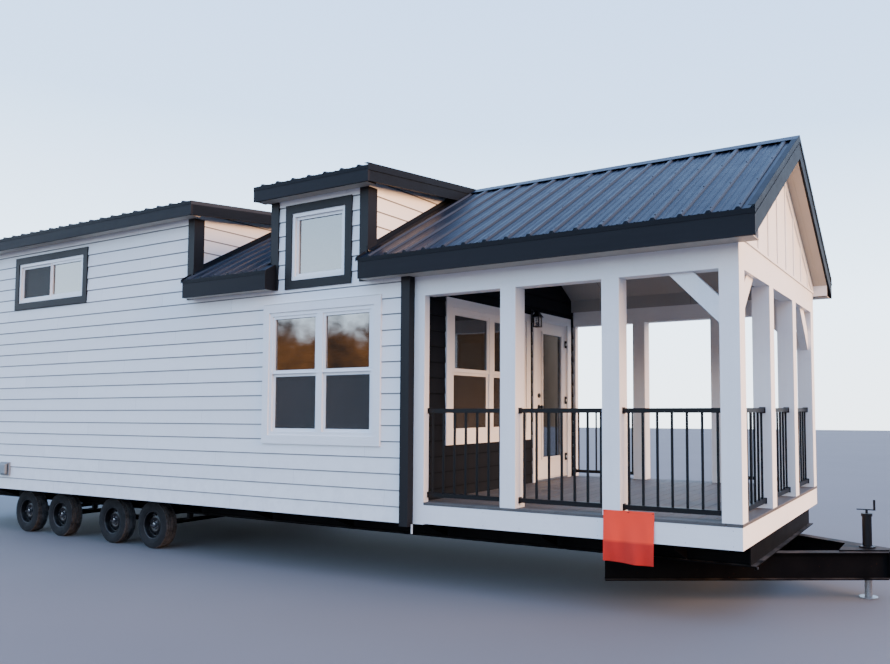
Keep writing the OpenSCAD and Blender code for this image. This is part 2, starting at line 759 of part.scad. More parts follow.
// A slanted brace from a post up to a beam, in the plane X Z, its foot on x = 0
module brace() {
  cut = brace_w * sqrt(2);
  along_y(-brace_t / 2, brace_t / 2)
    polygon([[0, -brace_run], [brace_run, 0], [brace_run - cut, 0], [0, cut - brace_run]]);
}
module knee_braces() {
  color("#f0f0ee") placed() both_sides() {
    translate([-post_w, -phw + post_w / 2, beam_z]) mirror([1, 0, 0]) brace();
    translate([-post_w / 2, -phw + post_w, beam_z]) rotate([0, 0, 90]) brace();
  }
}

// Ceiling sheets under the rafters, with a board down to the beam on each side
module porch_ceiling() {
  y0 = phw - beam_w;
  y1 = y0 + ceiling_t;
  z1 = ridge_z - roof_t - rafter_h;
  color("#e9e9e6") placed() along_x(front_wall_x, -beam_w) polygon([
    [-y1, eave_z], [-y0, eave_z], [-y0, z1 - y0 * slope - ceiling_t], [0, z1 - ceiling_t],
    [y0, z1 - y0 * slope - ceiling_t], [y0, eave_z], [y1, eave_z],
    [y1, z1 - y1 * slope], [0, z1], [-y1, z1 - y1 * slope]
  ]);
}

// A railing panel of a given clear length along X, its middle line at y = 0
module rail_panel(length) {
  n = round((length - 2 * baluster_end) / baluster_pitch);
  step = (length - 2 * baluster_end) / n;
  for (z = [rail_gap, rail_h - rail_t]) box([0, -rail_w / 2, z], [length, rail_w / 2, z + rail_t]);
  for (i = [0 : n]) translate([baluster_end + i * step, 0, 0])
    box([-baluster_t / 2, -baluster_t / 2, rail_gap + rail_t], [baluster_t / 2, baluster_t / 2, rail_h - rail_t]);
  for (z = [rail_gap, rail_h - rail_t], x = [0, length - 6])
    box([x, -rail_w / 2 - 8, z - 8], [x + 6, rail_w / 2 + 8, z + rail_t + 8]);
}
rail_line = phw - post_w / 2;
side_bays = [
  [side_post_x[0] - post_w / 2, side_post_x[1] + post_w / 2],
  [side_post_x[1] - post_w / 2, side_post_x[2] + post_w / 2],
  [side_post_x[2] - post_w / 2, pilaster_x]
];
module side_railing(bay) {
  translate([bay[1], -rail_line, deck_z]) rail_panel(bay[0] - bay[1]);
}
module railing_near() { color("#151517") placed() for (b = side_bays) side_railing(b); }
module railing_far() { color("#151517") placed() mirror([0, 1, 0]) for (i = [0, 2]) side_railing(side_bays[i]); }
module railing_front() {
  clear = front_post_pitch - post_w;
  color("#151517") placed() for (i = [-1 : 1])
    translate([-post_w / 2, i * front_post_pitch - clear / 2, deck_z]) rotate([0, 0, 90]) rail_panel(clear);
}

// One slope of ribbed roofing from x0 to x1, from edge to the middle line
module slope_sheet(x0, x1, pitch, edge, ridge) {
  t = (roof_t - seat) * cos(pitch);
  run = edge / cos(pitch);
  intersection() {
    translate([0, 0, ridge]) rotate([pitch, 0, 0]) along_y(-run - 100, 100)
      polygon(concat([[x0, -t], [x0, 0]], rib_line(x0, x1), [[x1, 0], [x1, -t]]));
    box([x0 - 1, -edge, 0], [x1 + 1, 0, ridge + 200]);
  }
}
// The space that the dormer roof and its cap take, above its underside
module dormer_air(x0, x1) {
  past = dormer_edge + eave_out;
  low = dormer_roof_z(past) - roof_t;
  top = dormer_ridge_z + eave_out;
  along_x(x0, x1) polygon([[-past, low], [0, dormer_ridge_z - roof_t], [past, low], [past, top], [-past, top]]);
}
module main_slope() {
  edge = hw + eave_out;
  color("#3a4350") placed() difference() {
    union() {
      slope_sheet(dormer_front, rake_out, roof_pitch, edge, ridge_z);
      slope_sheet(loft_front, dormer_back, roof_pitch, edge, ridge_z);
      intersection() {
        slope_sheet(dormer_back, eave_pass_x, roof_pitch, edge, ridge_z);
        box([dormer_back, -edge, 0], [eave_pass_x, -hw - board_out, ridge_z]);
      }
    }
    dormer_air(dormer_front - 1, dormer_front + dormer_rake_out);
    dormer_air(dormer_back - dormer_rake_out, dormer_back + 1);
    dormer_air(loft_front - 1, loft_front + dormer_rake_out);
  }
}
module roof_near() { main_slope(); }
module roof_far() { mirror([0, 1, 0]) main_slope(); }
module dormer_roofs() {
  color("#3a4350") placed() both_sides() {
    slope_sheet(dormer_back - dormer_rake_out, dormer_front + dormer_rake_out, dormer_pitch, dormer_edge, dormer_ridge_z);
    slope_sheet(rear_x - dormer_rake_out, loft_front + dormer_rake_out, dormer_pitch, dormer_edge, dormer_ridge_z);
  }
}

// A folded cap over the ribs
module ridge_cap(x0, x1, pitch, ridge) {
  z = ridge + rib_h / cos(pitch) + seat;
  drop = ridge_leg * sin(pitch);
  leg = ridge_leg * cos(pitch);
  along_x(x0, x1) polygon([[-leg, z - drop], [0, z], [leg, z - drop], [leg, z - drop + ridge_t], [0, z + ridge_t], [-leg, z - drop + ridge_t]]);
}
module ridge_caps() {
  gap = 2;
  color("#343c48") placed() {
    ridge_cap(dormer_front + dormer_rake_out + gap, rake_out, roof_pitch, ridge_z);
    ridge_cap(loft_front + dormer_rake_out + gap, dormer_back - dormer_rake_out - gap, roof_pitch, ridge_z);
    ridge_cap(dormer_back - dormer_rake_out, dormer_front + dormer_rake_out, dormer_pitch, dormer_ridge_z);
    ridge_cap(rear_x - dormer_rake_out, loft_front + dormer_rake_out, dormer_pitch, dormer_ridge_z);
  }
}

// A board under a roof edge along X on the near side
module eave_fascia(x0, x1, edge, ridge, rise, h) {
  z1 = ridge - edge * rise - roof_t;
  along_x(x0, x1) polygon([
    [-edge, z1 - h], [-edge, z1], [-edge + board_t, z1 + board_t * rise], [-edge + board_t, z1 - h]
  ]);
}
// A pair of boards under the slopes at a gable end
module rake_fascia(x0, x1, edge, ridge, rise, h) {
  along_x(x0, x1) polygon([
    [-edge, ridge - edge * rise - roof_t], [0, ridge - roof_t], [edge, ridge - edge * rise - roof_t],
    [edge, ridge - edge * rise - roof_t - h], [0, ridge - roof_t - h], [-edge, ridge - edge * rise - roof_t - h]
  ]);
}
// The space below the ribs of the main roof
module below_main_roof(x0, x1) {
  top = ridge_z + rib_h / cos(roof_pitch) + 0.3;
  along_x(x0, x1) polygon([[-inner_w, 0], [inner_w, 0], [inner_w, top - inner_w * slope], [0, top], [-inner_w, top - inner_w * slope]]);
}
module dormer_eave(x0, x1) {
  eave_fascia(x0, x1, dormer_edge, dormer_ridge_z, dormer_slope, dormer_fascia_h);
}
module eave_fascias() {
  edge = hw + eave_out;
  color("#24272d") placed() both_sides() {
    eave_fascia(dormer_front, rake_out, edge, ridge_z, slope, fascia_h);
    eave_fascia(loft_front, eave_pass_x, edge, ridge_z, slope, fascia_h);
    box([eave_pass_x - board_t, -edge + board_t, eave_z], [eave_pass_x, -hw - board_out, roof_edge_z - roof_t]);
    dormer_eave(dormer_back - dormer_rake_out, dormer_front + dormer_rake_out);
    dormer_eave(rear_x - dormer_rake_out, loft_front + dormer_rake_out);
  }
}
module rake_fascias() {
  inside = hw + eave_out - board_t;
  d_inside = dormer_edge - board_t;
  color("#24272d") placed() {
    rake_fascia(rake_out - board_t, rake_out, inside, ridge_z, slope, fascia_h);
    rake_fascia(rear_x - dormer_rake_out, rear_x - dormer_rake_out + board_t, d_inside, dormer_ridge_z, dormer_slope, dormer_fascia_h);
    for (x = [dormer_front + dormer_rake_out - board_t, dormer_back - dormer_rake_out, loft_front + dormer_rake_out - board_t])
      difference() {
        rake_fascia(x, x + board_t, d_inside, dormer_ridge_z, dormer_slope, dormer_fascia_h);
        below_main_roof(x - 1, x + board_t + 1);
      }
  }
}

soffit_t = 10;
module soffits() {
  edge = hw + eave_out - board_t;
  d_edge = dormer_edge - board_t;
  z_mid = ridge_z - roof_t - fascia_h;
  z_side = z_mid - phw * slope;
  color("#e9e9e6") placed() {
    both_sides() {
      box([dormer_front, -edge, eave_z], [rake_out - board_t, -hw - board_out, eave_z + soffit_t]);
      box([corner_x, -hw - board_out, eave_z], [rake_out - board_t, -phw, eave_z + soffit_t]);
      box([loft_front, -edge, eave_z], [eave_pass_x - board_t, -hw - board_out, eave_z + soffit_t]);
      box([dormer_back - dormer_rake_out + board_t, -d_edge, dormer_eave_z],
        [dormer_front + dormer_rake_out - board_t, -hw - board_out, dormer_eave_z + soffit_t]);
      box([rear_x - dormer_rake_out + board_t, -d_edge, dormer_eave_z],
        [loft_front + dormer_rake_out - board_t, -hw - board_out, dormer_eave_z + soffit_t]);
    }
    along_x(0, rake_out - board_t) polygon([
      [-phw, z_side + soffit_t], [0, z_mid + soffit_t], [phw, z_side + soffit_t],
      [phw, z_side], [0, z_mid], [-phw, z_side]
    ]);
  }
}

// A window frame with its sashes, outer face at y = 0, from its lower left corner.
// Each light is a pane's left edge, bottom, width and height as shares of the clear opening.
lights_hung = [[0, 0, 1, 0.5], [0, 0.5, 1, 0.5]];
lights_single = [[0, 0, 1, 1]];
lights_slider = [[0, 0, 0.5, 1], [0.5, 0, 0.5, 1]];
// Depth of the outer panes, how much deeper the inner ones sit, and how far glass enters a sash
pane_in = 28;
inner_step = 14;
glass_bite = 8;
// How far a sash's face stands in front of its glass, and its step from the frame's edge
sash_face = 18;
frame_lip = 3;
function pane_depth(l) = pane_in + (l[1] > 0 || l[0] > 0 ? 0 : inner_step);
function pane_box(w, h, l, grow) = let (cw = w - 2 * frame_w, ch = h - 2 * frame_w) [
  [frame_w + l[0] * cw + sash_w - grow, frame_w + l[1] * ch + sash_w - grow],
  [frame_w + (l[0] + l[2]) * cw - sash_w + grow, frame_w + (l[1] + l[3]) * ch - sash_w + grow]
];
module window_frame(w, h, lights) {
  difference() {
    box([0, 0, 0], [w, frame_d, h]);
    for (l = lights) {
      p = pane_box(w, h, l, 0);
      box([p[0][0], -1, p[0][1]], [p[1][0], frame_d + 1, p[1][1]]);
      g = pane_box(w, h, l, glass_bite);
      d = pane_depth(l);
      box([g[0][0], d, g[0][1]], [g[1][0], d + glass_t, g[1][1]]);
      box([g[0][0], d + glass_t - 1, g[0][1]], [g[1][0], frame_d + 1, g[1][1]]);
      s = pane_box(w, h, l, sash_w - frame_lip);
      box([s[0][0], -1, s[0][1]], [s[1][0], d - sash_face, s[1][1]]);
    }
  }
}
module window_panes(w, h, lights) {
  for (l = lights) {
    g = pane_box(w, h, l, glass_bite);
    d = pane_depth(l);
    box([g[0][0], d, g[0][1]], [g[1][0], d + glass_t, g[1][1]]);
  }
}
// A pair of hung windows side by side
module hung_pair() { for (k = [0, 1]) translate([k * double_w / 2, 0, 0]) window_frame(double_w / 2, double_h, lights_hung); }
module hung_panes() { for (k = [0, 1]) translate([k * double_w / 2, 0, 0]) window_panes(double_w / 2, double_h, lights_hung); }

flash_out = 6;
flash_h = 4;
// Casing boards round an opening, on the sheathing, with a metal flashing over the head
module casing(w, h, cap) {
  difference() {
    box([-casing_w, -board_out, -casing_w], [w + casing_w, siding_t, h + casing_w]);
    box([0, -board_t, 0], [w, board_t, h]);
  }
  if (cap) box([-casing_w, -board_out - flash_out, h + casing_w], [w + casing_w, 0, h + casing_w + flash_h]);
}
module at_side_window(w) { translate([w[0] - w[2] / 2, -hw, w[1]]) children(); }
module at_porch_window() {
  translate([front_wall_x, porch_window_at - hw - double_w / 2, deck_z + double_sill]) rotate([0, 0, 90]) children();
}
module at_rear_window() {
  translate([rear_x, double_w / 2, deck_z + double_sill]) rotate([0, 0, -90]) children();
}
module window_frames() {
  color("#f4f4f2") placed() {
    both_sides() {
      at_side_window(side_windows[0]) hung_pair();
      at_side_window(side_windows[1]) window_frame(dormer_window_w, dormer_window_h, lights_single);
      at_side_window(side_windows[2]) window_frame(loft_window_w, loft_window_h, lights_slider);
    }
    at_porch_window() hung_pair();
    at_rear_window() hung_pair();
  }
}
module window_glass() {
  color("#5c6a70", 0.5) placed() {
    both_sides() {
      at_side_window(side_windows[0]) hung_panes();
      at_side_window(side_windows[1]) window_panes(dormer_window_w, dormer_window_h, lights_single);
      at_side_window(side_windows[2]) window_panes(loft_window_w, loft_window_h, lights_slider);
    }
    at_porch_window() hung_panes();
    at_rear_window() hung_panes();
  }
}
module black_casings() {
  color("#2a2a30") placed() both_sides() for (i = [1, 2]) at_side_window(side_windows[i])
    casing(side_windows[i][2], side_windows[i][3], false);
}
// How much of the jamb shows beside the door's casing
reveal = 12;
door_casing_y0 = leaf_y0 - leaf_gap - reveal - casing_w;
door_casing_y1 = leaf_y1 + leaf_gap + reveal + casing_w;
door_casing_z1 = jamb_z1 - jamb_t + reveal + casing_w;
porch_window_at = hw + door_casing_y0 - window_door_gap - casing_w - double_w / 2;
module white_casings() {
  color("#f0f0ee") placed() {
    both_sides() at_side_window(side_windows[0]) casing(double_w, double_h, true);
    at_porch_window() casing(double_w, double_h, true);
    at_rear_window() casing(double_w, double_h, true);
  }
}

stop_t = 12;
module door_frame() {
  x0 = sheath_x - wall_t;
  stop_x = sheath_x - leaf_t - leaf_gap;
  color("#f0f0ee") placed() {
    difference() {
      box([x0, jamb_y0, deck_z], [sheath_x, jamb_y1, jamb_z1]);
      box([x0 - 1, jamb_y0 + jamb_t, 0], [sheath_x + 1, jamb_y1 - jamb_t, jamb_z1 - jamb_t]);
    }
    difference() {
      box([x0, jamb_y0 + jamb_t, deck_z], [stop_x, jamb_y1 - jamb_t, jamb_z1 - jamb_t]);
      box([x0 - 1, jamb_y0 + jamb_t + stop_t, 0], [stop_x + 1, jamb_y1 - jamb_t - stop_t, jamb_z1 - jamb_t - stop_t]);
    }
    box([x0, jamb_y0 + jamb_t, deck_z], [sheath_x, jamb_y1 - jamb_t, deck_z + threshold_h]);
    difference() {
      box([sheath_x, door_casing_y0, deck_z], [sheath_x + board_t, door_casing_y1, door_casing_z1]);
      box([sheath_x - 1, door_casing_y0 + casing_w, 0], [0, door_casing_y1 - casing_w, door_casing_z1 - casing_w]);
    }
    for (z = hinge_z) {
      difference() {
        translate([hinge_x, hinge_y, z - knuckle_h / 2]) cylinder(r = knuckle_r, h = knuckle_h);
        translate([hinge_x, hinge_y, z - knuckle_h]) cylinder(r = knuckle_r / 2 + 0.05, h = knuckle_h * 2);
      }
      box([sheath_x - 30, leaf_y1 + leaf_gap - 1.8, z - knuckle_h / 2], [hinge_x - knuckle_r / 2 - 1, leaf_y1 + leaf_gap, z + knuckle_h / 2]);
    }
  }
}

lite_w = 32;
lite_out = 8;
// A full-lite leaf with a raised moulding round its glass
module door_leaf() {
  y_mid = (leaf_y0 + leaf_y1) / 2;
  g0 = y_mid - door_glass_w / 2;
  g1 = y_mid + door_glass_w / 2;
  z0 = leaf_z + door_bottom_rail;
  z1 = leaf_z + leaf_h - door_top_rail;
  color("#f0f0ee") placed() difference() {
    union() {
      box([sheath_x - leaf_t, leaf_y0, leaf_z], [sheath_x, leaf_y1, leaf_z + leaf_h]);
      box([sheath_x, g0 - lite_w, z0 - lite_w], [sheath_x + lite_out, g1 + lite_w, z1 + lite_w]);
    }
    box([sheath_x - leaf_t - 1, g0, z0], [sheath_x + 50, g1, z1]);
  }
}
module door_glass() {
  y_mid = (leaf_y0 + leaf_y1) / 2;
  x = sheath_x - leaf_t / 2;
  color("#5c6a70", 0.5) placed()
    box([x - glass_t / 2, y_mid - door_glass_w / 2, leaf_z + door_bottom_rail],
      [x + glass_t / 2, y_mid + door_glass_w / 2, leaf_z + leaf_h - door_top_rail]);
}
// The leaf's half of each hinge: two knuckles, the pin through them and a plate
module door_hinges() {
  color("#18181a") placed() for (z = hinge_z) {
    for (s = [-1, 1]) translate([hinge_x, hinge_y, z + s * (knuckle_h + 0.6) - knuckle_h / 2]) {
      cylinder(r = knuckle_r, h = knuckle_h);
      box([sheath_x - 30 - hinge_x, leaf_y1 - hinge_y, 0], [-knuckle_r / 2 - 1, leaf_y1 + 1.8 - hinge_y, knuckle_h]);
    }
    translate([hinge_x, hinge_y, z - knuckle_h]) cylinder(r = knuckle_r / 2, h = knuckle_h * 2);
  }
}

handle_y = leaf_y0 + 62;
// A round knob and a deadbolt, on both faces of the leaf
module door_handle() {
  color("#18181a") placed() for (s = [0, 1]) translate([sheath_x - s * leaf_t, handle_y, deck_z + latch_z])
    mirror([s, 0, 0]) rotate([0, 90, 0]) {
      cylinder(r = 32, h = 8);
      translate([0, 0, 8]) cylinder(r = 11, h = 22);
      translate([0, 0, 30]) rotate_extrude() polygon([[0, 0], [16, 0], [26, 10], [27, 20], [20, 30], [0, 32]]);
      translate([-bolt_rise, 0, 0]) {
        cylinder(r = 30, h = 12);
        translate([0, 0, 12]) cylinder(r = 14, h = 10);
      }
    }
}

lantern_drop = 217;
lantern_z = door_casing_z1 - lantern_drop;
lantern_w = 86;
lantern_body_h = 129;
lantern_roof_h = 64;
lantern_arm_h = 14;
lantern_out = 50;
lantern_plate = 12;
lantern_bar = 10;
// An open lantern on a wall plate: roof, floor, four corner bars and a top bracket
module porch_lantern() {
  y = (porch_window_at - hw + double_w / 2 + casing_w + door_casing_y0) / 2;
  w = lantern_w / 2;
  plate_half = w * 0.75;
  top = lantern_body_h + lantern_roof_h;
  bar = w - lantern_bar / 2;
  color("#151517") placed() translate([front_wall_x, y, lantern_z]) {
    box([0, -plate_half, lantern_body_h / 2], [lantern_plate, plate_half, top + lantern_arm_h * 3]);
    box([lantern_plate, -lantern_bar, top], [lantern_out + w * 1.2, lantern_bar, top + lantern_arm_h]);
    translate([lantern_out + w, 0, 0]) {
      box([-w, -w, 0], [w, w, lantern_plate]);
      for (x = [-bar, bar], q = [-bar, bar]) translate([x, q, lantern_plate])
        box([-lantern_bar / 2, -lantern_bar / 2, 0], [lantern_bar / 2, lantern_bar / 2, lantern_body_h - lantern_plate]);
      translate([0, 0, lantern_body_h]) rotate([0, 0, 45]) cylinder(r1 = w * 1.9, r2 = w * 0.7, h = lantern_roof_h, $fn = 4);
      translate([0, 0, lantern_plate]) cylinder(r = w / 3, h = lantern_plate);
      translate([0, 0, 2 * lantern_plate]) cylinder(r = w / 2, h = lantern_body_h / 2);
    }
  }
}

outlet_at = 10981;
outlet_z = 950;
module outlet_box() {
  color("#e6e6e2") placed() translate([-outlet_at, -hw, outlet_z]) difference() {
    union() {
      box([-70, -14, -85], [70, 0, 85]);
      box([-58, -55, -72], [58, -14, 72]);
    }
    translate([0, 0, -10]) box([-46, -60, -50], [46, -48, 55]);
  }
}

flag_w = 480;
flag_h = 430;
flag_t = 3;
// How far the flag's top edge stands over the deck, and its gap to the post behind it
flag_rise = 27;
flag_edge = 10;
// A square of marker cloth that hangs over the deck's edge beside the second post
module transport_flag() {
  x0 = side_post_x[1] - post_w / 2 + flag_edge;
  y = -phw - nosing - flag_t - seat;
  top = deck_z + flag_rise;
  color("#e8431e") placed() box([x0, y, top - flag_h], [x0 + flag_w, y + flag_t, top]);
}

main_rails();
cross_members();
front_header();
drawbar();
coupler();
tongue_jack();
jack_leg();
axles();
leaf_springs();
near_wheel(0);  // wheel_near_1
near_wheel(1);  // wheel_near_2
near_wheel(2);  // wheel_near_3
near_wheel(3);  // wheel_near_4
far_wheel(0);  // wheel_far_1
far_wheel(1);  // wheel_far_2
far_wheel(2);  // wheel_far_3
far_wheel(3);  // wheel_far_4
house_floor();
porch_joists();
porch_deck();
porch_fascia();
near_wall();
far_wall();
rear_wall();
porch_wall_near();
porch_wall_far();
porch_wall_head();
dormer_cheeks();
black_corner_boards();
white_pilasters();
porch_posts();
porch_beams();
front_gable();
knee_braces();
porch_ceiling();
railing_near();
railing_front();
railing_far();
roof_near();
roof_far();
dormer_roofs();
ridge_caps();
eave_fascias();
rake_fascias();
soffits();
window_frames();
window_glass();
white_casings();
black_casings();
door_frame();
door_leaf();
door_glass();
door_hinges();
door_handle();
porch_lantern();
outlet_box();
transport_flag();
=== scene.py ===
import json
import math

import bmesh
import bpy
from mathutils import Matrix, Vector


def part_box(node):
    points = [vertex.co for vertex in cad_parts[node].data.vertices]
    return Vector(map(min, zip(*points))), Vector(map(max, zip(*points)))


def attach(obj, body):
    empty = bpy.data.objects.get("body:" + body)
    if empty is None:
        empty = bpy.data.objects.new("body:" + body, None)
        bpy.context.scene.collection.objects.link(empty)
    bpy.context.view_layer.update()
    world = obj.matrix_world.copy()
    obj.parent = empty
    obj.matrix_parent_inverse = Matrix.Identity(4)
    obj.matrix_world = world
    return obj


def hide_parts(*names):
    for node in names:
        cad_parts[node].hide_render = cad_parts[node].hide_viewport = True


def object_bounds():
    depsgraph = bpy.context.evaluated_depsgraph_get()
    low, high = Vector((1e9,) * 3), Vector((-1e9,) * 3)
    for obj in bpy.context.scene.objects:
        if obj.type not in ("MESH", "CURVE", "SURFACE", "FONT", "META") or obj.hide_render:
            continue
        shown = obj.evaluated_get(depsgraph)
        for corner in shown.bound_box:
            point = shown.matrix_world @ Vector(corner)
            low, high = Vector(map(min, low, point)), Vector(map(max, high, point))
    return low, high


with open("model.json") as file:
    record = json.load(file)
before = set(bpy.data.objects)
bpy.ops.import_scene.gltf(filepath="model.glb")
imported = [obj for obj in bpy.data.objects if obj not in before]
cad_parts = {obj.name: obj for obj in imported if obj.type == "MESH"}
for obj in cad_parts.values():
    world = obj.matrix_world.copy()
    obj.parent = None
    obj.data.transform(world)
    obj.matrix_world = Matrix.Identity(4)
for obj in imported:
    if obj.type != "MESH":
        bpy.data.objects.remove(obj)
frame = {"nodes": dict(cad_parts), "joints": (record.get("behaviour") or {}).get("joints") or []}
cad_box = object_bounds()
cad = frame["nodes"]

# The camera stands where the photograph was taken: off the near side, a little ahead
# of the porch and at eye height. The shift keeps the photograph's crop.
porch_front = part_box("porch_fascia")[1].x
near_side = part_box("near_wall")[0].y
ahead_of_porch = 1.592
off_near_side = 5.985
eye_height = 1.800
camera = bpy.data.objects.new("camera", bpy.data.cameras.new("camera"))
bpy.context.collection.objects.link(camera)
camera.location = (porch_front + ahead_of_porch, near_side - off_near_side, eye_height)
camera.rotation_euler = (math.radians(93.17), math.radians(0.14), math.radians(27.92))
camera.data.sensor_width = 36.0
camera.data.lens = 30.30
camera.data.shift_x = -0.1351
camera.data.shift_y = 0.0406
camera.data.clip_end = 300.0
bpy.context.scene.camera = camera


# The studio: a plain floor, a soft sky that is cool overhead and warm towards the porch
# end, and a broad low warm light from there. A low mottled brown band off the near side and
# the porch end, which only the glass and the other surfaces see, gives them their reflections.
def operator(operation, swapped=False):
    """One of Python's operators on a wire, as a Math node."""
    if swapped:
        return lambda wire, other: wire.math(operation, other, wire)
    return lambda wire, *others: wire.math(operation, wire, *others)


class Wire:
    """An output in a node tree. Arithmetic on wires and numbers adds Math nodes."""

    __add__ = operator("ADD")
    __radd__ = operator("ADD", swapped=True)
    __sub__ = operator("SUBTRACT")
    __rsub__ = operator("SUBTRACT", swapped=True)
    __mul__ = operator("MULTIPLY")
    __rmul__ = operator("MULTIPLY", swapped=True)
    __truediv__ = operator("DIVIDE")
    __mod__ = operator("FLOORED_MODULO")
    __lt__ = operator("LESS_THAN")
    __gt__ = operator("GREATER_THAN")
    __abs__ = operator("ABSOLUTE")
    __floor__ = operator("FLOOR")

    def __init__(self, tree, socket):
        self.tree = tree
        self.socket = socket

    def node(self, kind, settings=None, inputs=None, output=0):
        """Adds any node: its settings first, then the values or wires of its sockets."""
        made = self.tree.nodes.new(kind)
        for name, value in (settings or {}).items():
            if name == "stops":
                while len(made.color_ramp.elements) < len(value):
                    made.color_ramp.elements.new(1.0)
                for element, (position, colour) in zip(made.color_ramp.elements, value):
                    element.position = position
                    element.color = (*colour, 1.0)
            else:
                setattr(made, name, value)
        for name, value in (inputs or {}).items():
            if isinstance(value, Wire):
                self.tree.links.new(value.socket, made.inputs[name])
            else:
                made.inputs[name].default_value = value
        return Wire(self.tree, made.outputs[output])

    def math(self, operation, *values):
        return self.node("ShaderNodeMath", {"operation": operation}, dict(enumerate(values)))

    def axis(self, index):
        return self.node("ShaderNodeSeparateXYZ", {}, {0: self}, index)

    def tint(self, low, high):
        """The colour between low, where this wire is 0, and high, where it is 1."""
        ends = [end if isinstance(end, Wire) else (*end, 1.0) for end in (low, high)]
        settings = {"data_type": "RGBA", "clamp_factor": True}
        return self.node("ShaderNodeMix", settings, {0: self, 6: ends[0], 7: ends[1]}, 2)


def noise(place, scale, detail=3.0, roughness=0.55):
    """Noise from 0 to 1. The scale is one number, or three where it is stretched."""
    if isinstance(scale, tuple):
        place = place.node("ShaderNodeMapping", {}, {"Vector": place, "Scale": scale})
        scale = 1.0
    sockets = {"Vector": place, "Scale": scale, "Detail": detail, "Roughness": roughness}
    return place.node("ShaderNodeTexNoise", {}, sockets)


def ramp(value, low, high):
    """A clamped rise from 0 at low to 1 at high."""
    sockets = {"Value": value, "From Min": low, "From Max": high}
    return value.node("ShaderNodeMapRange", {"clamp": True}, sockets)


def relief(height, distance, strength=1.0):
    sockets = {"Strength": strength, "Distance": distance, "Height": height}
    return height.node("ShaderNodeBump", {}, sockets)


def new_finish(name):
    """A material with its Object coordinate."""
    material = bpy.data.materials.new(name)
    material.use_nodes = True
    tree = material.node_tree
    place = Wire(tree, tree.nodes.new("ShaderNodeTexCoord").outputs["Object"])
    return material, place


def shade(material, sockets):
    """Sets the shader's sockets to numbers, colours or wires."""
    shader = material.node_tree.nodes["Principled BSDF"]
    for name, value in sockets.items():
        if isinstance(value, Wire):
            material.node_tree.links.new(value.socket, shader.inputs[name])
        else:
            shader.inputs[name].default_value = value
    return material


def new_piece(name, mesh_maker, material, body="house", smooth=None):
    """Makes an object of a finished bmesh, whose place is in its mesh already."""
    bmesh.ops.recalc_face_normals(mesh_maker, faces=mesh_maker.faces)
    mesh = bpy.data.meshes.new(name)
    mesh_maker.to_mesh(mesh)
    mesh_maker.free()
    mesh.materials.append(material)
    if smooth:
        mesh.shade_smooth()
        mesh.set_sharp_from_angle(angle=math.radians(smooth))
    piece = bpy.data.objects.new(name, mesh)
    bpy.context.collection.objects.link(piece)
    if body:
        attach(piece, body)
    return piece


floor_paint, place = new_finish("studio_floor")
shade(floor_paint, {
    "Base Color": noise(place, 0.35, 2.0).tint((0.120, 0.120, 0.122), (0.145, 0.145, 0.147)),
    "Roughness": 0.9,
})
floor_half = 60.0
shape = bmesh.new()
bmesh.ops.create_grid(shape, x_segments=1, y_segments=1, size=floor_half)
floor = new_piece("studio_floor", shape, floor_paint, body=None)

sky_strength = 4.8
sun_direction = (0.95, 0.06, 0.27)
sky = bpy.data.worlds.new("soft_sky")
bpy.context.scene.world = sky
sky.use_nodes = True
sky_tree = sky.node_tree
direction = Wire(sky_tree, sky_tree.nodes.new("ShaderNodeTexCoord").outputs["Generated"])
height = ramp(direction.axis(2), -0.05, 0.75)
overhead = [(0.50, (0.31, 0.47, 0.71)), (1.0, (0.20, 0.32, 0.60))]
cool_stops = [(0.0, (0.75, 0.82, 0.87)), (0.22, (0.66, 0.82, 0.99))] + overhead
warm_stops = [(0.0, (1.05, 0.76, 0.58)), (0.22, (0.95, 0.76, 0.64))] + overhead
cool_sky = height.node("ShaderNodeValToRGB", {"stops": cool_stops}, {0: height})
warm_sky = height.node("ShaderNodeValToRGB", {"stops": warm_stops}, {0: height})
sky_colour = ramp(direction.axis(0), 0.0, 0.8).tint(cool_sky, warm_sky)
mottle = noise(direction, 18.0, 8.0, 0.75)
band_height = direction.axis(2) + mottle * 0.14 - ramp(direction.axis(0), 0.2, 0.5) * 0.18
band_side = direction.math(
    "MAXIMUM", ramp(direction.axis(1), 0.0, -0.35), ramp(direction.axis(0), 0.2, 0.5))
band_light = ramp(mottle, 0.38, 0.62) * (1.0 - ramp(direction.axis(0), 0.1, 0.5) * 0.9)
band_colour = band_light.tint((0.018, 0.014, 0.012), (0.145, 0.062, 0.020))
seen = direction.node("ShaderNodeLightPath", {}, {}, "Is Camera Ray")
band_cover = ramp(band_height, 0.190, 0.165) * band_side * (1.0 - seen)
sky_colour = band_cover.tint(sky_colour, band_colour)
sky_tree.links.new(sky_colour.socket, sky_tree.nodes["Background"].inputs["Color"])
sky_tree.nodes["Background"].inputs["Strength"].default_value = sky_strength

low_sun = bpy.data.lights.new("low_sun", "SUN")
low_sun.energy = 10.0
low_sun.angle = math.radians(35)
low_sun.color = (1.0, 0.55, 0.28)
sun = bpy.data.objects.new("low_sun", low_sun)
bpy.context.collection.objects.link(sun)
sun.visible_glossy = False
sun.rotation_euler = Vector(sun_direction).to_track_quat("Z", "Y").to_euler()


# The trailer frame: black painted steel beams, cross channels, outriggers, leaf springs
# and the A-frame drawbar, dusty on top and speckled with a little rust.
def dress(material, *names):
    """Gives a finish to every slot of the named CAD nodes."""
    for name in names:
        for slot in cad[name].material_slots:
            slot.material = material


def toned(colour, share):
    """A colour made darker or lighter, but never past the white of fresh paint."""
    return [min(part * share, 0.95) for part in colour]


def facing(place, index):
    """The part of a face's normal that lies along an axis."""
    return place.node("ShaderNodeNewGeometry", {}, {}, "Normal").axis(index)


def upward(place):
    """How far a face looks up: 1 on a level top, 0 on a wall or an underside."""
    return ramp(facing(place, 2), 0.2, 0.95)


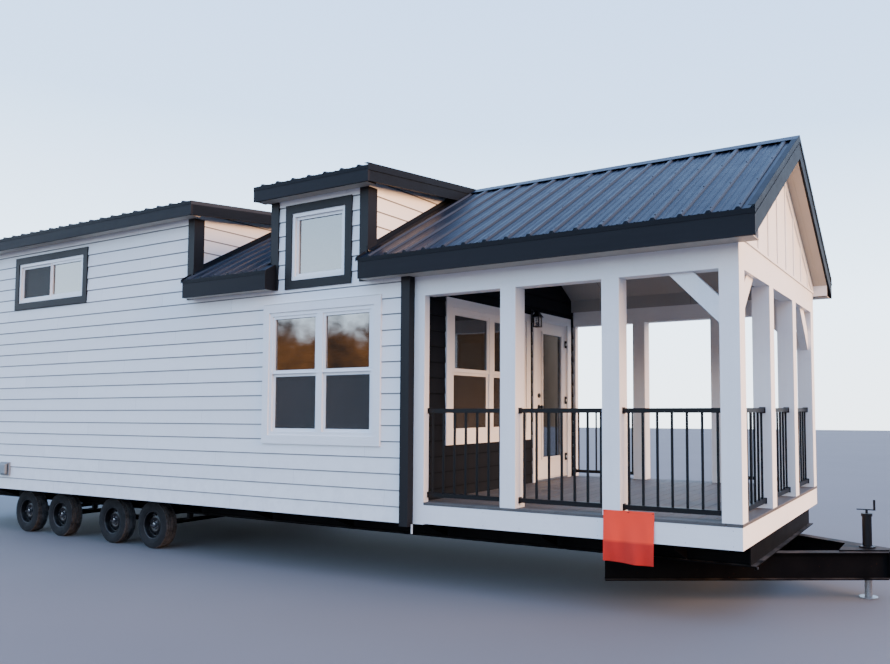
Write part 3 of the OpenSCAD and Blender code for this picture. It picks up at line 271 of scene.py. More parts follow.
def painted_steel(name, colour, dust, rust=0.0, gloss=0.42, shine=0.3, ior=1.5):
    """Sprayed steel with an orange-peel skin, dust on its tops and rust freckles."""
    material, place = new_finish(name)
    peel = noise(place, 210.0, 2.0)
    cloud = noise(place, 3.1, 5.0, 0.62)
    freckle = ramp(noise(place, 38.0, 4.0, 0.7), 0.665, 0.72) * rust
    settled = ramp(noise(place, 6.0, 4.0), 0.35, 0.75) * (0.02 + upward(place) * 0.75)
    paint = cloud.tint(toned(colour, 0.75), toned(colour, 1.35))
    dusted = (settled * dust).tint(paint, (0.23, 0.20, 0.17))
    return shade(material, {
        "Base Color": freckle.tint(dusted, (0.16, 0.062, 0.025)),
        "Roughness": gloss + cloud * 0.16 + settled * 0.3,
        "IOR": ior,
        "Specular IOR Level": shine,
        "Normal": relief(peel + cloud * 2.0, 0.0006, 0.5),
    })


chassis_paint = painted_steel(
    "chassis_paint", (0.0030, 0.0029, 0.0032), dust=0.45, rust=0.2, gloss=0.5, shine=0.16, ior=1.25)
dress(chassis_paint, "main_rails", "cross_members", "front_header", "drawbar", "coupler", "axles")
spring_steel = painted_steel(
    "spring_steel", (0.0070, 0.0065, 0.0062), dust=0.35, rust=1.0, gloss=0.55, shine=0.2)
dress(spring_steel, "leaf_springs")


# The tongue jack: a black drop-leg tube on the drawbar's plate, with a zinc-plated inner
# leg that slides in it and stands on a round foot.
def zinc(name):
    """Galvanised steel with its dull spangle."""
    material, place = new_finish(name)
    spangle = place.node("ShaderNodeTexVoronoi", {}, {"Vector": place, "Scale": 95.0})
    cloud = noise(place, 7.0, 4.0)
    return shade(material, {
        "Base Color": (spangle * 0.6 + cloud * 0.4).tint((0.22, 0.23, 0.24), (0.42, 0.43, 0.44)),
        "Roughness": 0.36 + cloud * 0.25,
        "Metallic": 0.85,
        "Normal": relief(spangle, 0.0002, 0.4),
    })


zinc_plate = zinc("zinc_plate")
jack_paint = painted_steel("jack_paint", (0.0030, 0.0030, 0.0034), dust=0.15, rust=0.3)
dress(jack_paint, "tongue_jack")
dress(zinc_plate, "jack_leg")


# Bolts through the coupler's plate and the jack's collar: zinc-plated hexagon heads on
# washers, drawn up tight on the painted steel.
bolt_layers = ((16, 1.75, 0.0, 0.2), (6, 1.15, 0.2, 0.9))


def add_head(shape, at, along, layers, size=1.0, taper=1.0):
    """A washer and its head at a point: the sides, radius, foot and top of each layer."""
    turn = Vector(along).to_track_quat("Z", "Y").to_matrix().to_4x4()
    for sides, wide, foot, top in layers:
        radius = wide * size
        lift = Matrix.Translation((0, 0, (foot + top) / 2 * size))
        bmesh.ops.create_cone(
            shape, cap_ends=True, segments=sides, radius1=radius, radius2=radius * taper,
            depth=(top - foot) * size, matrix=Matrix.Translation(at) @ turn @ lift)


plate_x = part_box("coupler")[0].x + 0.014
bar_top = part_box("main_rails")[0].z
jack_low, jack_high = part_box("jack_leg")
jack_x = (jack_low.x + jack_high.x) / 2
collar_z = bar_top + 0.026
collar_bolt = 0.007
collar_ring = 0.060
plate_bolt = 0.010
plate_bolt_y = 0.072
shape = bmesh.new()
for turn in range(4):
    angle = math.radians(45 + 90 * turn)
    spot = (jack_x + collar_ring * math.cos(angle), collar_ring * math.sin(angle), collar_z)
    add_head(shape, spot, (0, 0, 1), bolt_layers, collar_bolt)
for y in (-plate_bolt_y, plate_bolt_y):
    for drop in (0.045, 0.12, 0.195):
        add_head(shape, (plate_x, y, bar_top - drop), (1, 0, 0), bolt_layers, plate_bolt)
new_piece("drawbar_bolts", shape, zinc_plate)


# The wheels: ribbed trailer tyres, dusty on the tread, on black pressed-steel discs with
# hand holes, five nuts and a bright cap over each hub. Each turns on its own spindle.
tyre_rubber, place = new_finish("tyre_rubber")
rings = noise(place, 55.0, 4.0, 0.5)
wear = noise(place, 9.0, 5.0, 0.65)
wheel_face = abs(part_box("wheel_near_1")[0].y)
tread = ramp(abs(place.axis(1)), wheel_face - 0.012, wheel_face - 0.019)
shade(tyre_rubber, {
    "Base Color": (ramp(wear, 0.25, 0.72) * (0.12 + tread * 0.88)).tint(
        (0.0064, 0.0060, 0.0062), (0.140, 0.138, 0.134)),
    "Roughness": 0.72 + wear * 0.2,
    "Specular IOR Level": 0.25,
    "Normal": relief(rings + wear, 0.0012, 0.5),
})
wheel_paint = painted_steel("wheel_paint", (0.0022, 0.0022, 0.0026), dust=0.05, rust=0.1, gloss=0.24)
hub_chrome, place = new_finish("hub_chrome")
smudge = noise(place, 18.0, 4.0)
shade(hub_chrome, {
    "Base Color": smudge.tint((0.14, 0.14, 0.145), (0.30, 0.30, 0.31)),
    "Roughness": 0.22 + smudge * 0.22,
    "Metallic": 1.0,
})
tyre_width = 0.175
tyre_steps = 96
tread_radius = 0.2990
shoulder = 0.040
disc_steps = 64
disc_sheet = 0.004
hole_band = (0.121, 0.141)
nut_size = 0.0080
nut_ring = 0.056
nut_depth = 0.061
tyre_profile = [
    (0.171, 0.020), (0.180, 0.011), (0.205, 0.0045), (0.228, 0.0022), (0.2285, 0.0008),
    (0.236, 0.0006), (0.2365, 0.0020), (0.256, 0.0032), (0.272, 0.0058), (0.286, 0.0098),
    (0.2945, 0.0135), (0.2992, 0.0162), (0.3010, 0.0175), (0.3024, 0.0280), (0.3030, 0.0385),
    (0.2935, 0.0392), (0.2935, 0.0470), (0.3034, 0.0477), (0.3044, 0.0620), (0.2950, 0.0627),
    (0.2950, 0.0705), (0.3046, 0.0712), (0.3050, 0.0875)
]
disc_profile = [
    (0.172, 0.020), (0.168, 0.016), (0.163, 0.020), (0.160, 0.030), (0.158, 0.056), (0.150, 0.064),
    (0.142, 0.066), (0.118, 0.064), (0.104, 0.056), (0.090, 0.052), (0.074, 0.058), (0.060, 0.062),
    (0.044, 0.060)
]
barrel_profile = [
    (0.172, 0.020), (0.166, 0.030), (0.150, 0.070), (0.150, 0.110), (0.166, 0.145), (0.172, 0.155)
]
cap_profile = [
    (0.0, 0.030), (0.016, 0.031), (0.028, 0.036), (0.033, 0.046), (0.034, 0.062), (0.044, 0.0625)
]


def spin_profile(profile, steps, thickness=0.0):
    """A profile of radius and depth, turned about the Y axis into a shape."""
    shape = bmesh.new()
    points = [shape.verts.new((radius, depth, 0.0)) for radius, depth in profile]
    edges = [shape.edges.new(pair) for pair in zip(points, points[1:])]
    bmesh.ops.spin(
        shape, geom=points + edges, cent=(0, 0, 0), axis=(0, 1, 0), angle=math.tau, steps=steps,
        use_merge=True, use_duplicate=False)
    bmesh.ops.remove_doubles(shape, verts=shape.verts, dist=0.00005)
    bmesh.ops.recalc_face_normals(shape, faces=shape.faces)
    if thickness:
        bmesh.ops.solidify(shape, geom=shape.faces[:], thickness=thickness)
    return shape


def about_axle(face):
    """How far the middle of a face is from the axle, and its angle about it."""
    middle = face.calc_center_median()
    return math.hypot(middle.x, middle.z), math.atan2(middle.z, middle.x)


def cut_hand_holes(shape):
    """Opens eight holes in the disc's outer slope, before it gets its thickness."""
    ring = [face for face in shape.faces if hole_band[0] < about_axle(face)[0] < hole_band[1]]
    ring.sort(key=lambda face: about_axle(face)[1])
    holes = [face for step, face in enumerate(ring) if step % 8 < 3]
    bmesh.ops.delete(shape, geom=holes, context="FACES")


def wheel_part(kind):
    """One of the three parts of a wheel, about its own middle with its outer face at y = 0."""
    if kind == "tyre":
        mirrored = [(radius, tyre_width - depth) for radius, depth in reversed(tyre_profile[:-1])]
        shape = spin_profile(tyre_profile + mirrored, tyre_steps)
        notches = []
        for face in shape.faces:
            radius, angle = about_axle(face)
            inner = shoulder < face.calc_center_median().y < tyre_width - shoulder
            step = math.floor((angle + math.pi) / math.tau * tyre_steps + 0.5)
            if radius > tread_radius and not inner and step % 2 == 0:
                notches.append(face)
        bmesh.ops.inset_individual(shape, faces=notches, thickness=0.0020, depth=-0.005)
        return shape
    if kind == "disc":
        shape = spin_profile(disc_profile, disc_steps)
        cut_hand_holes(shape)
        bmesh.ops.solidify(shape, geom=shape.faces[:], thickness=disc_sheet)
        join_shape(shape, spin_profile(barrel_profile, disc_steps, disc_sheet))
        return shape
    shape = spin_profile(cap_profile, 32)
    nut_corners = sum(2 * layer[0] for layer in bolt_layers)
    for nut in range(5):
        angle = math.tau * nut / 5
        add_head(shape, (0, 0, 0), (0, -1, 0), bolt_layers, nut_size)
        shift = (nut_ring * math.cos(angle), nut_depth, nut_ring * math.sin(angle))
        bmesh.ops.translate(shape, verts=shape.verts[-nut_corners:], vec=shift)
    return shape


def join_shape(shape, other):
    """Adds a second bmesh to the first and frees it."""
    mesh = bpy.data.meshes.new("joined")
    other.to_mesh(mesh)
    other.free()
    shape.from_mesh(mesh)
    bpy.data.meshes.remove(mesh)


for joint in frame["joints"]:
    if not joint["name"].startswith("wheel_"):
        continue
    body = joint["child"]
    low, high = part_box(body)
    side = -1 if low.y < 0 else 1
    outer = low.y if side < 0 else high.y
    middle = ((low.x + high.x) / 2, outer, (low.z + high.z) / 2)
    for kind, material in (("tyre", tyre_rubber), ("disc", wheel_paint), ("hub", hub_chrome)):
        shape = wheel_part(kind)
        bmesh.ops.rotate(shape, verts=shape.verts, matrix=Matrix.Rotation(len(body) + outer, 3, "Y"))
        bmesh.ops.scale(shape, verts=shape.verts, vec=(1, -side, 1))
        bmesh.ops.translate(shape, verts=shape.verts, vec=middle)
        part = new_piece(f"{body}_{kind}", shape, material, body, smooth=40)
        if kind == "tyre":
            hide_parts(body)


# The floor: the house stands on joists closed below by a woven black bottom sheet, and
# the porch joists are bare treated pine.
bottom_sheet, place = new_finish("bottom_sheet")
weave = place.node("ShaderNodeTexWave", {"wave_profile": "SIN"}, {"Vector": place, "Scale": 60.0})
sag = noise(place, 1.7, 3.0)
shade(bottom_sheet, {
    "Base Color": sag.tint((0.010, 0.010, 0.011), (0.024, 0.023, 0.023)),
    "Roughness": 0.55 + sag * 0.2,
    "Normal": relief(weave * 0.05 + sag, 0.02, 0.6),
})
dress(bottom_sheet, "house_floor")


def stretched(across, along, axis):
    """A pattern's scale on the three axes: fine across the grain and long along it."""
    return tuple(along if index == axis else across for index in range(3))


def bare_timber(name, pale, dark, along):
    """Sawn wood: rings stretched along one axis, with knots and a rough face."""
    material, place = new_finish(name)
    ring = noise(place, stretched(26.0, 1.1, along), 6.0, 0.6)
    knot = ramp(noise(place, 7.5, 1.0), 0.72, 0.78)
    fibre = noise(place, stretched(234.0, 9.9, along), 2.0)
    return shade(material, {
        "Base Color": knot.tint(ramp(ring, 0.3, 0.7).tint(pale, dark), toned(dark, 0.4)),
        "Roughness": 0.78 + fibre * 0.12,
        "Normal": relief(ring + fibre * 0.6, 0.0016, 0.6),
    })


treated_pine = bare_timber("treated_pine", (0.40, 0.29, 0.16), (0.26, 0.17, 0.085), 1)
dress(treated_pine, "porch_joists")


# The porch deck: grey composite boards across the porch with eased edges, a border board
# round the three open sides, and two plugged screws where each board crosses a joist.
def add_block(shape, corner, other, ease=0.0):
    """A block between two corners, with its edges eased by a small bevel."""
    low = Vector([min(pair) for pair in zip(corner, other)])
    high = Vector([max(pair) for pair in zip(corner, other)])
    place = Matrix.Translation((low + high) / 2) @ Matrix.Diagonal((*(high - low), 1.0))
    made = bmesh.ops.create_cube(shape, size=1.0, matrix=place)
    if ease:
        edges = list({edge for vert in made["verts"] for edge in vert.link_edges})
        bmesh.ops.bevel(
            shape, geom=edges, offset=ease, offset_type="OFFSET", affect="EDGES", segments=2,
            profile=0.5, material=-1)


def mottled(name, scale, dark, pale, sockets):
    """A plain finish that wanders between two tones."""
    material, place = new_finish(name)
    return shade(material, {"Base Color": noise(place, scale).tint(dark, pale), **sockets})


deck_low, deck_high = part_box("porch_deck")
pilaster_low, pilaster_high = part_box("white_pilasters")
board_w = 0.140
board_gap = 0.005
board_pitch = board_w + board_gap
pilaster_inner = 0.152
clearance = 0.001
border_ease = 0.004
board_ease = 0.003
composite, place = new_finish("composite_boards")
board_number = math.floor((place.axis(0) - deck_high.x) / board_pitch)
random_tone = place.node("ShaderNodeTexWhiteNoise", {"noise_dimensions": "1D"}, {"W": board_number})
streak = noise(place, stretched(46.0, 1.3, 1), 6.0, 0.62)
brushed = noise(place, stretched(420.0, 5.0, 1), 2.0)
shade(composite, {
    "Base Color": (streak * 0.65 + random_tone * 0.3).tint(
        (0.054, 0.050, 0.046), (0.118, 0.109, 0.100)),
    "Roughness": 0.62 + brushed * 0.2,
    "Normal": relief(streak * 0.5 + brushed, 0.0009, 0.55),
})
shape = bmesh.new()
border = deck_high.x - board_w
inner_y = deck_high.y - board_w - board_gap
add_block(shape, (border, deck_low.y, deck_low.z), deck_high, border_ease)
for side in (-1, 1):
    add_block(shape, (pilaster_high.x + clearance, side * deck_high.y, deck_low.z),
              (border - board_gap, side * (deck_high.y - board_w), deck_high.z), border_ease)
board_x = border - board_gap
while board_x > pilaster_high.x:
    back = max(board_x - board_w, deck_low.x)
    if back < pilaster_high.x:
        back = pilaster_high.x + clearance
    add_block(
        shape, (back, -inner_y, deck_low.z), (board_x, inner_y, deck_high.z), board_ease)
    board_x = back - board_gap
reach = abs(pilaster_low.y) - pilaster_inner + 0.070
add_block(shape, (deck_low.x, -reach, deck_low.z),
          (pilaster_high.x - board_gap, reach, deck_high.z), board_ease)
deck_boards = new_piece("deck_boards", shape, composite)
plug_finish = mottled(
    "deck_plugs", 80.0, (0.040, 0.041, 0.044), (0.075, 0.076, 0.080), {"Roughness": 0.7})
joist_step = 0.48
plug_inset = 0.022
plug_radius = 0.0042
plug_height = 0.0012
shape = bmesh.new()
for column in range(-3, 4):
    board_x = border - board_gap
    while board_x - board_w > pilaster_high.x:
        for inset in (plug_inset, board_w - plug_inset):
            head = Matrix.Translation((board_x - inset, column * joist_step, deck_high.z))
            bmesh.ops.create_cone(
                shape, cap_ends=True, segments=8, radius1=plug_radius, radius2=plug_radius,
                depth=plug_height, matrix=head)
        board_x -= board_pitch
new_piece("deck_screw_plugs", shape, plug_finish)
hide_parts("porch_deck")


# The porch fascia: white composite boards nailed round the porch's floor frame, with
# filled nail heads along both edges.
def painted_wood(name, colour, along, gloss=0.44, depth=0.0006, shine=0.3):
    """Painted timber: faint grain along one axis, soft mottling and a little grime."""
    material, place = new_finish(name)
    grain = noise(place, stretched(38.0, 1.4, along), 6.0, 0.6)
    cloud = noise(place, 1.9, 4.0, 0.6)
    grime = ramp(noise(place, 5.5, 5.0, 0.7), 0.56, 0.82)
    paint = (grain * 0.35 + cloud * 0.65).tint(toned(colour, 0.88), toned(colour, 1.07))
    return shade(material, {
        "Base Color": (grime * 0.16).tint(paint, toned(colour, 0.55)),
        "Roughness": gloss + cloud * 0.14,
        "Specular IOR Level": shine,
        "Normal": relief(grain + cloud * 0.4, depth, 0.55),
    })


white = (0.84, 0.84, 0.83)
white_x = painted_wood("white_paint_lengthwise", white, 0)
white_y = painted_wood("white_paint_across", white, 1)
white_z = painted_wood("white_paint_upright", white, 2)
dress(white_x, "porch_fascia")
nail_filler = painted_wood("nail_filler", (0.56, 0.56, 0.55), 2, gloss=0.6)
fascia_low, fascia_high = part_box("porch_fascia")
nail_step = 0.406
nail_inset = 0.030
nail_half = 0.004
nail_proud = 0.0006


def add_nail(shape, at, axis):
    """A dab of filler on a nail head, flat along the axis that the board faces."""
    half = [nail_half] * 3
    half[axis] = nail_proud
    add_block(shape, [a - h for a, h in zip(at, half)], [a + h for a, h in zip(at, half)])


shape = bmesh.new()
for row_z in (fascia_low.z + nail_inset, fascia_high.z - nail_inset):
    for step in range(int((fascia_high.x - fascia_low.x) / nail_step)):
        for side in (-1, 1):
            x = fascia_high.x - 0.08 - step * nail_step
            add_nail(shape, (x, side * fascia_high.y, row_z), 1)
    for step in range(-4, 5):
        add_nail(shape, (fascia_high.x, step * nail_step, row_z), 0)
new_piece("fascia_nails", shape, nail_filler)


# The house walls: painted lap siding with a painted shadow under each lap. Each course is made of 12
# foot boards whose butt joints are staggered, and the paint is a little dusty towards the wheels.
lap = 0.165
board_l = 3.66
butt_gap = 0.0028
siding_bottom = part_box("near_wall")[0].z


def lap_siding(name, colour, run, dirt=0.5, gloss=0.42, shine=0.3):
    """Painted siding whose boards run along the given axis, with a painted shadow under each lap."""
    material, place = new_finish(name)
    height = place.axis(2) - siding_bottom
    course = math.floor(height / lap)
    along = place.axis(run) + course * 1.31
    board = math.floor(along / board_l)
    tone = place.node("ShaderNodeTexWhiteNoise", {"noise_dimensions": "2D"}, {
        "Vector": place.node("ShaderNodeCombineXYZ", {}, {0: course, 1: board})})
    joint = (along % board_l) < butt_gap
    grain = noise(place, stretched(42.0, 1.2, run), 6.0, 0.62)
    cloud = noise(place, 1.1, 4.0, 0.6)
    low_part = 1.0 - ramp(height, 0.0, 0.8)
    splash = ramp(noise(place, 7.0, 5.0, 0.7), 0.42, 0.8) * (low_part * 0.55 + 0.12) * dirt
    # Painted shadow: the top of each course is darkened just under the butt of the course above, and
    # the butt's own foot is darkened too.
    painted_lap_shadow = ramp(height % lap, lap - 0.016, lap - 0.006) + ((height % lap) < 0.0025) * 0.5
    paint = (tone * 0.4 + cloud * 0.35 + grain * 0.25).tint(
        toned(colour, 0.90), toned(colour, 1.05))
    stained = splash.tint(paint, toned(colour, 0.55))
    joints_and_lap_shadow = (painted_lap_shadow * 0.95 + joint * 0.4).tint(stained, toned(colour, 0.13))
    return shade(material, {
        "Base Color": joints_and_lap_shadow,
        "Roughness": gloss + cloud * 0.12 + splash * 0.3,
        "Specular IOR Level": shine,
        "Normal": relief(grain - joint * 1.5, 0.0011, 0.5),
    })


dress(lap_siding("white_siding_lengthwise", white, 0), "near_wall", "far_wall")
dress(lap_siding("white_siding_across", white, 1), "rear_wall", "dormer_cheeks")


# The wall behind the porch: the same lap siding in charcoal, fixed round the doorway and
# kept clean by the roof.
charcoal = (0.0095, 0.0105, 0.0130)
charcoal_siding = lap_siding("charcoal_siding", charcoal, 1, dirt=0.1, gloss=0.55, shine=0.08)
dress(charcoal_siding, "porch_wall_near", "porch_wall_far", "porch_wall_head")


# Corner boards and pilasters: black painted boards at the house corners, and the white
# posts against the house that carry the porch beams.
black_paint = painted_wood(
    "black_trim_paint", (0.0096, 0.0090, 0.0094), 2, gloss=0.46, shine=0.24)
dress(black_paint, "black_corner_boards")
dress(white_z, "white_pilasters", "porch_posts")


# The porch frame: timber beams wrapped in white boards, the front gable's panel with its
# battens under a frieze board, and knee braces screwed to the posts.
dress(white_x, "porch_beams")
dress(white_z, "front_gable", "knee_braces")
soffit_points = [v.co for v in cad["soffits"].data.vertices]
gable_soffit_z = min(p.z for p in soffit_points if abs(p.y) < 0.001)
gable_low, gable_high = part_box("front_gable")


def edge_points(node):
    """The corners of a roof node along its eaves."""
    points = [v.co for v in cad[node].data.vertices]
    edge = max(abs(p.y) for p in points)
    return [p for p in points if abs(abs(p.y) - edge) < 0.001]


def slope_of(node):
    """A roof node's slope, its eave's distance from the middle, and its crests' height there."""
    eave = edge_points(node)
    edge = abs(eave[0].y)
    crest_z = max(p.z for p in eave)
    return (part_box(node)[1].z - crest_z) / edge, edge, crest_z


main_slope, main_edge, main_crest_z = slope_of("roof_near")


def add_bent(shape, corner, other, height):
    """A block on each side of the house, whose corners' heights follow a rule."""
    for side in (-1, 1):
        made = bmesh.new()
        add_block(made, corner, other)
        for vert in made.verts:
            vert.co.z = height(vert.co)
            vert.co.y *= side
        join_shape(shape, made)


def add_rake_strip(shape, x0, x1, top_z, width, half, slope, start=0.0):
    """A pair of strips under the slopes of a gable, from start to half off the middle line."""
    add_bent(
        shape, (x0, start, top_z - width), (x1, half, top_z), lambda co: co.z - co.y * slope)


frieze_w = 0.105
frieze_proud = 0.006
cap_proud = 0.014
shape = bmesh.new()
add_rake_strip(
    shape, gable_high.x - 0.010, gable_high.x + frieze_proud, gable_soffit_z, frieze_w,
    gable_high.y, main_slope)
new_piece("gable_frieze", shape, white_y)
shape = bmesh.new()
add_block(shape, (gable_high.x - 0.002, gable_low.y, gable_low.z - 0.010),
          (gable_high.x + cap_proud, gable_high.y, gable_low.z + 0.012), 0.002)
new_piece("beam_drip_cap", shape, white_y)


# The porch ceiling: smooth painted panels nailed up under the rafters, with a shadow line where their
# edges meet. Their white-cream paint is given a grey-beige colour as painted shade under the porch
# roof.
shaded_ceiling_paint, place = new_finish("ceiling_panels")
panel_l = 1.22
panel_w = 0.61
seam = ((place.axis(0) + 0.35) % panel_l) < 0.006
across = (abs(place.axis(1)) % panel_w) < 0.004
stipple = noise(place, 90.0, 3.0)
cloud = noise(place, 1.4, 3.0)
shade(shaded_ceiling_paint, {
    # Painted shade: the panels' colour is kept darker than their white-cream paint.
    "Base Color": (seam * 0.8 + across * 0.5).tint(
        cloud.tint((0.33, 0.32, 0.30), (0.40, 0.39, 0.37)), (0.09, 0.09, 0.08)),
    "Roughness": 0.55 + stipple * 0.15,
    "Normal": relief(stipple, 0.0006, 0.4),
})
dress(shaded_ceiling_paint, "porch_ceiling")


# The railings: square aluminium balusters welded between two rails, in black powder coat,
# and screwed to the posts.
powder_coat, place = new_finish("black_powder_coat")
speckle = noise(place, 380.0, 2.0)
dust = ramp(noise(place, 11.0, 4.0), 0.5, 0.85) * upward(place)
shade(powder_coat, {
    "Base Color": (dust * 0.2).tint((0.0030, 0.0030, 0.0034), (0.10, 0.085, 0.07)),
    "Roughness": 0.40 + speckle * 0.14,
    "Specular IOR Level": 0.25,
    "Normal": relief(speckle, 0.0003, 0.4),
})
dress(powder_coat, "railing_near", "railing_front", "railing_far")


# The roof: ribbed steel sheets painted dark blue-grey, screwed down through the ribs. They reflect
# the sky, are slightly dished between ribs and streaked by rain, and the rib sides that face the sun
# carry a painted highlight.
def rib_places(node):
    """The middle of each rib of a roof node, read from its crests at the eave."""
    crest_z = slope_of(node)[2]
    crests = sorted({round(p.x, 4) for p in edge_points(node) if p.z > crest_z - 0.0015})
    return [(a + b) / 2 for a, b in zip(crests, crests[1:]) if 0.020 < b - a < 0.032]


ribs = rib_places("roof_near")
rib_step = ribs[1] - ribs[0]


def roof_paint(name, colour, fall, gloss=0.24, shine=0.2, rib_highlight_and_crimp=0.0):
    """Baked paint on steel sheet: streaks down the fall, and a painted highlight on the rib sides
    that face the sun.
    """
    material, place = new_finish(name)
    streak = noise(place, stretched(9.0, 0.55, fall), 5.0, 0.62)
    dish = noise(place, 2.3, 2.0)
    fine = noise(place, 140.0, 2.0)
    # Painted highlight: the rib sides that face the sun, along +X, are made paler. The same factor
    # scales the bump of the small crimps.
    painted_rib_highlight = ramp(facing(place, 0), 0.25, 0.5) * rib_highlight_and_crimp
    third = ((place.axis(0) - ribs[0]) / rib_step * 3.0 + 0.5) % 1.0 - 0.5
    crimp = ramp(abs(third), 0.13, 0.05) * rib_highlight_and_crimp
    return shade(material, {
        "Base Color": (painted_rib_highlight * 0.6).tint(
            streak.tint(toned(colour, 0.65), toned(colour, 1.4)), (0.044, 0.052, 0.064)),
        "Roughness": gloss + streak * 0.16 + fine * 0.05,
        "IOR": 1.3,
        "Specular IOR Level": shine,
        "Normal": relief(dish * 6.0 + fine * 0.06 + crimp * 3.0, 0.0022, 0.6),
    })


roof_metal = roof_paint("roof_sheet_paint", (0.0030, 0.0056, 0.0130), 1, gloss=0.25, rib_highlight_and_crimp=1.0)
dress(roof_metal, "roof_near", "roof_far", "dormer_roofs")
cap_metal = roof_paint("ridge_cap_paint", (0.0060, 0.0100, 0.0200), 0)
dress(cap_metal, "ridge_caps")
trim_metal = roof_paint("rake_trim_paint", (0.0074, 0.0090, 0.0120), 1, gloss=0.42, shine=0.22)


def runs_of(points):
    """Where each stretch of roof starts and ends, from points along its eave or ridge."""
    places = sorted({round(p.x, 4) for p in points})
    breaks = [(a, b) for a, b in zip(places, places[1:]) if b - a > 0.3]
    return list(zip([places[0]] + [b for a, b in breaks], [a for a, b in breaks] + [places[-1]]))


screw_steel = mottled(
    "screw_paint", 60.0, (0.030, 0.036, 0.048), (0.075, 0.085, 0.100),
    {"Roughness": 0.35, "Metallic": 0.4})
cap_reach = 0.19
eave_screw = 0.07
screw_step = 0.60
screw_layers = ((10, 0.008, 0.0, 0.0015), (6, 0.0055, 0.0015, 0.006))
screw_taper = 0.92


def roof_screws(name, node):
    """Rows of screws up each rib of a roof node, from the eave to the ridge cap."""
    slope, edge, eave_z = slope_of(node)
    lean = math.atan(slope)
    shape = bmesh.new()
    for x in rib_places(node):
        out = edge - eave_screw
        while out > cap_reach:
            for side in (-1, 1):
                spot = (x, side * out, eave_z + (edge - out) * slope)
                upright = (0.0, side * math.sin(lean), math.cos(lean))
                add_head(shape, spot, upright, screw_layers, taper=screw_taper)
            out -= screw_step
    new_piece(name, shape, screw_steel)


roof_screws("main_roof_screws", "roof_near")
roof_screws("dormer_roof_screws", "dormer_roofs")


# Rake trims and flashings: folded metal strips screwed over the ends of the sheets, and
# angles against the dormers' side walls that kick out at the eaves.
rake_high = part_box("rake_fascias")[1]
dormer_slope, dormer_edge, dormer_crest_z = slope_of("dormer_roofs")
dormer_low, dormer_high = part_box("dormer_roofs")
trim_face = 0.072
trim_leg = 0.055
trim_rise = 0.004
trim_past = 0.004
fold_t = 0.003
main_ridge_z = main_crest_z + main_edge * main_slope
dormer_ridge_z = dormer_crest_z + dormer_edge * dormer_slope


def add_rake_trim(shape, x, out, ridge_z, edge, slope):
    """An angle of sheet metal with a hem, on the end of a roof at x that looks along out."""
    top_z = ridge_z + trim_rise
    half = edge + trim_past
    face_x = x + out * fold_t
    add_rake_strip(shape, x, face_x, top_z, trim_face, half, slope)
    add_rake_strip(shape, x, x + out * 0.007, top_z - trim_face, 0.006, half, slope)
    add_rake_strip(shape, face_x, x - out * trim_leg, top_z, fold_t, half, slope)


cheek_half = abs(near_side) + 0.015
flashing_w = 0.095
flashing_h = 0.055
flashing_start = 0.32
ridge_points = [v.co for v in cad["roof_near"].data.vertices if v.co.y > -0.001]
(loft_front, dormer_back), (dormer_front, _) = runs_of(ridge_points)
shape = bmesh.new()
for x, out in ((loft_front, 1), (dormer_back, -1), (dormer_front, 1)):
    for wide, rise, deep in ((flashing_w, fold_t, fold_t), (0.006, flashing_h, flashing_h)):
        add_rake_strip(shape, x, x + out * wide, main_ridge_z + rise, deep, cheek_half,
                       main_slope, flashing_start)
main_runs = runs_of(edge_points("roof_near"))
kick = 0.016
for x in (main_runs[0][0], main_runs[1][0]):
    add_bent(
        shape, (x - 0.024, cheek_half + 0.02, main_ridge_z - 0.040),
        (x + 0.004, main_edge + 0.008, main_ridge_z + 0.002),
        lambda co: co.z - co.y * main_slope - (kick if co.y > main_edge and co.x < x else 0.0))
new_piece("side_wall_flashing", shape, trim_metal)
shape = bmesh.new()
add_rake_trim(shape, rake_high.x, 1, main_ridge_z, main_edge, main_slope)
new_piece("main_rake_trim", shape, trim_metal)
shape = bmesh.new()
add_rake_trim(shape, dormer_high.x, 1, dormer_ridge_z, dormer_edge, dormer_slope)
add_rake_trim(shape, dormer_low.x, -1, dormer_ridge_z, dormer_edge, dormer_slope)
new_piece("dormer_rake_trim", shape, trim_metal)


# Fascias and soffits: boards wrapped in dark steel under the roof edges, and vented
# soffit panels with fine grooves behind them.
dress(trim_metal, "rake_fascias")
eave_metal = roof_paint("eave_fascia_paint", (0.0130, 0.0130, 0.0152), 0, gloss=0.42, shine=0.24)
dress(eave_metal, "eave_fascias")
soffit_panel, place = new_finish("soffit_panels")
groove_step = 0.102
groove = (place.axis(0) % groove_step) < 0.006
vent = ramp(noise(place, 260.0, 0.0), 0.62, 0.70)
cloud = noise(place, 2.0, 3.0)
shade(soffit_panel, {
    "Base Color": (groove * 0.15 + vent * 0.10).tint(
        cloud.tint((0.36, 0.32, 0.26), (0.44, 0.39, 0.32)), (0.11, 0.10, 0.09)),
    "Roughness": 0.5 + cloud * 0.12,
    "Normal": relief(1.0 - groove, 0.003, 0.6),
})
dress(soffit_panel, "soffits")
box_low_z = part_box("eave_fascias")[0].z
box_side = gable_high.y
box_top_z = gable_soffit_z - box_side * main_slope + 0.008
shape = bmesh.new()
for side in (-1, 1):
    add_block(shape, (gable_high.x, side * box_side, box_low_z),
              (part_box("soffits")[1].x, side * (box_side + 0.010), box_top_z))
new_piece("eave_box_ends", shape, white_y)


# Eave ends: folded plates that close the hollow eaves beside the dormers, and the ends of
# the dormers' own soffits.
def corners_of(points):
    """The lowest and highest corner of the box round some points."""
    return Vector(map(min, zip(*points))), Vector(map(max, zip(*points)))


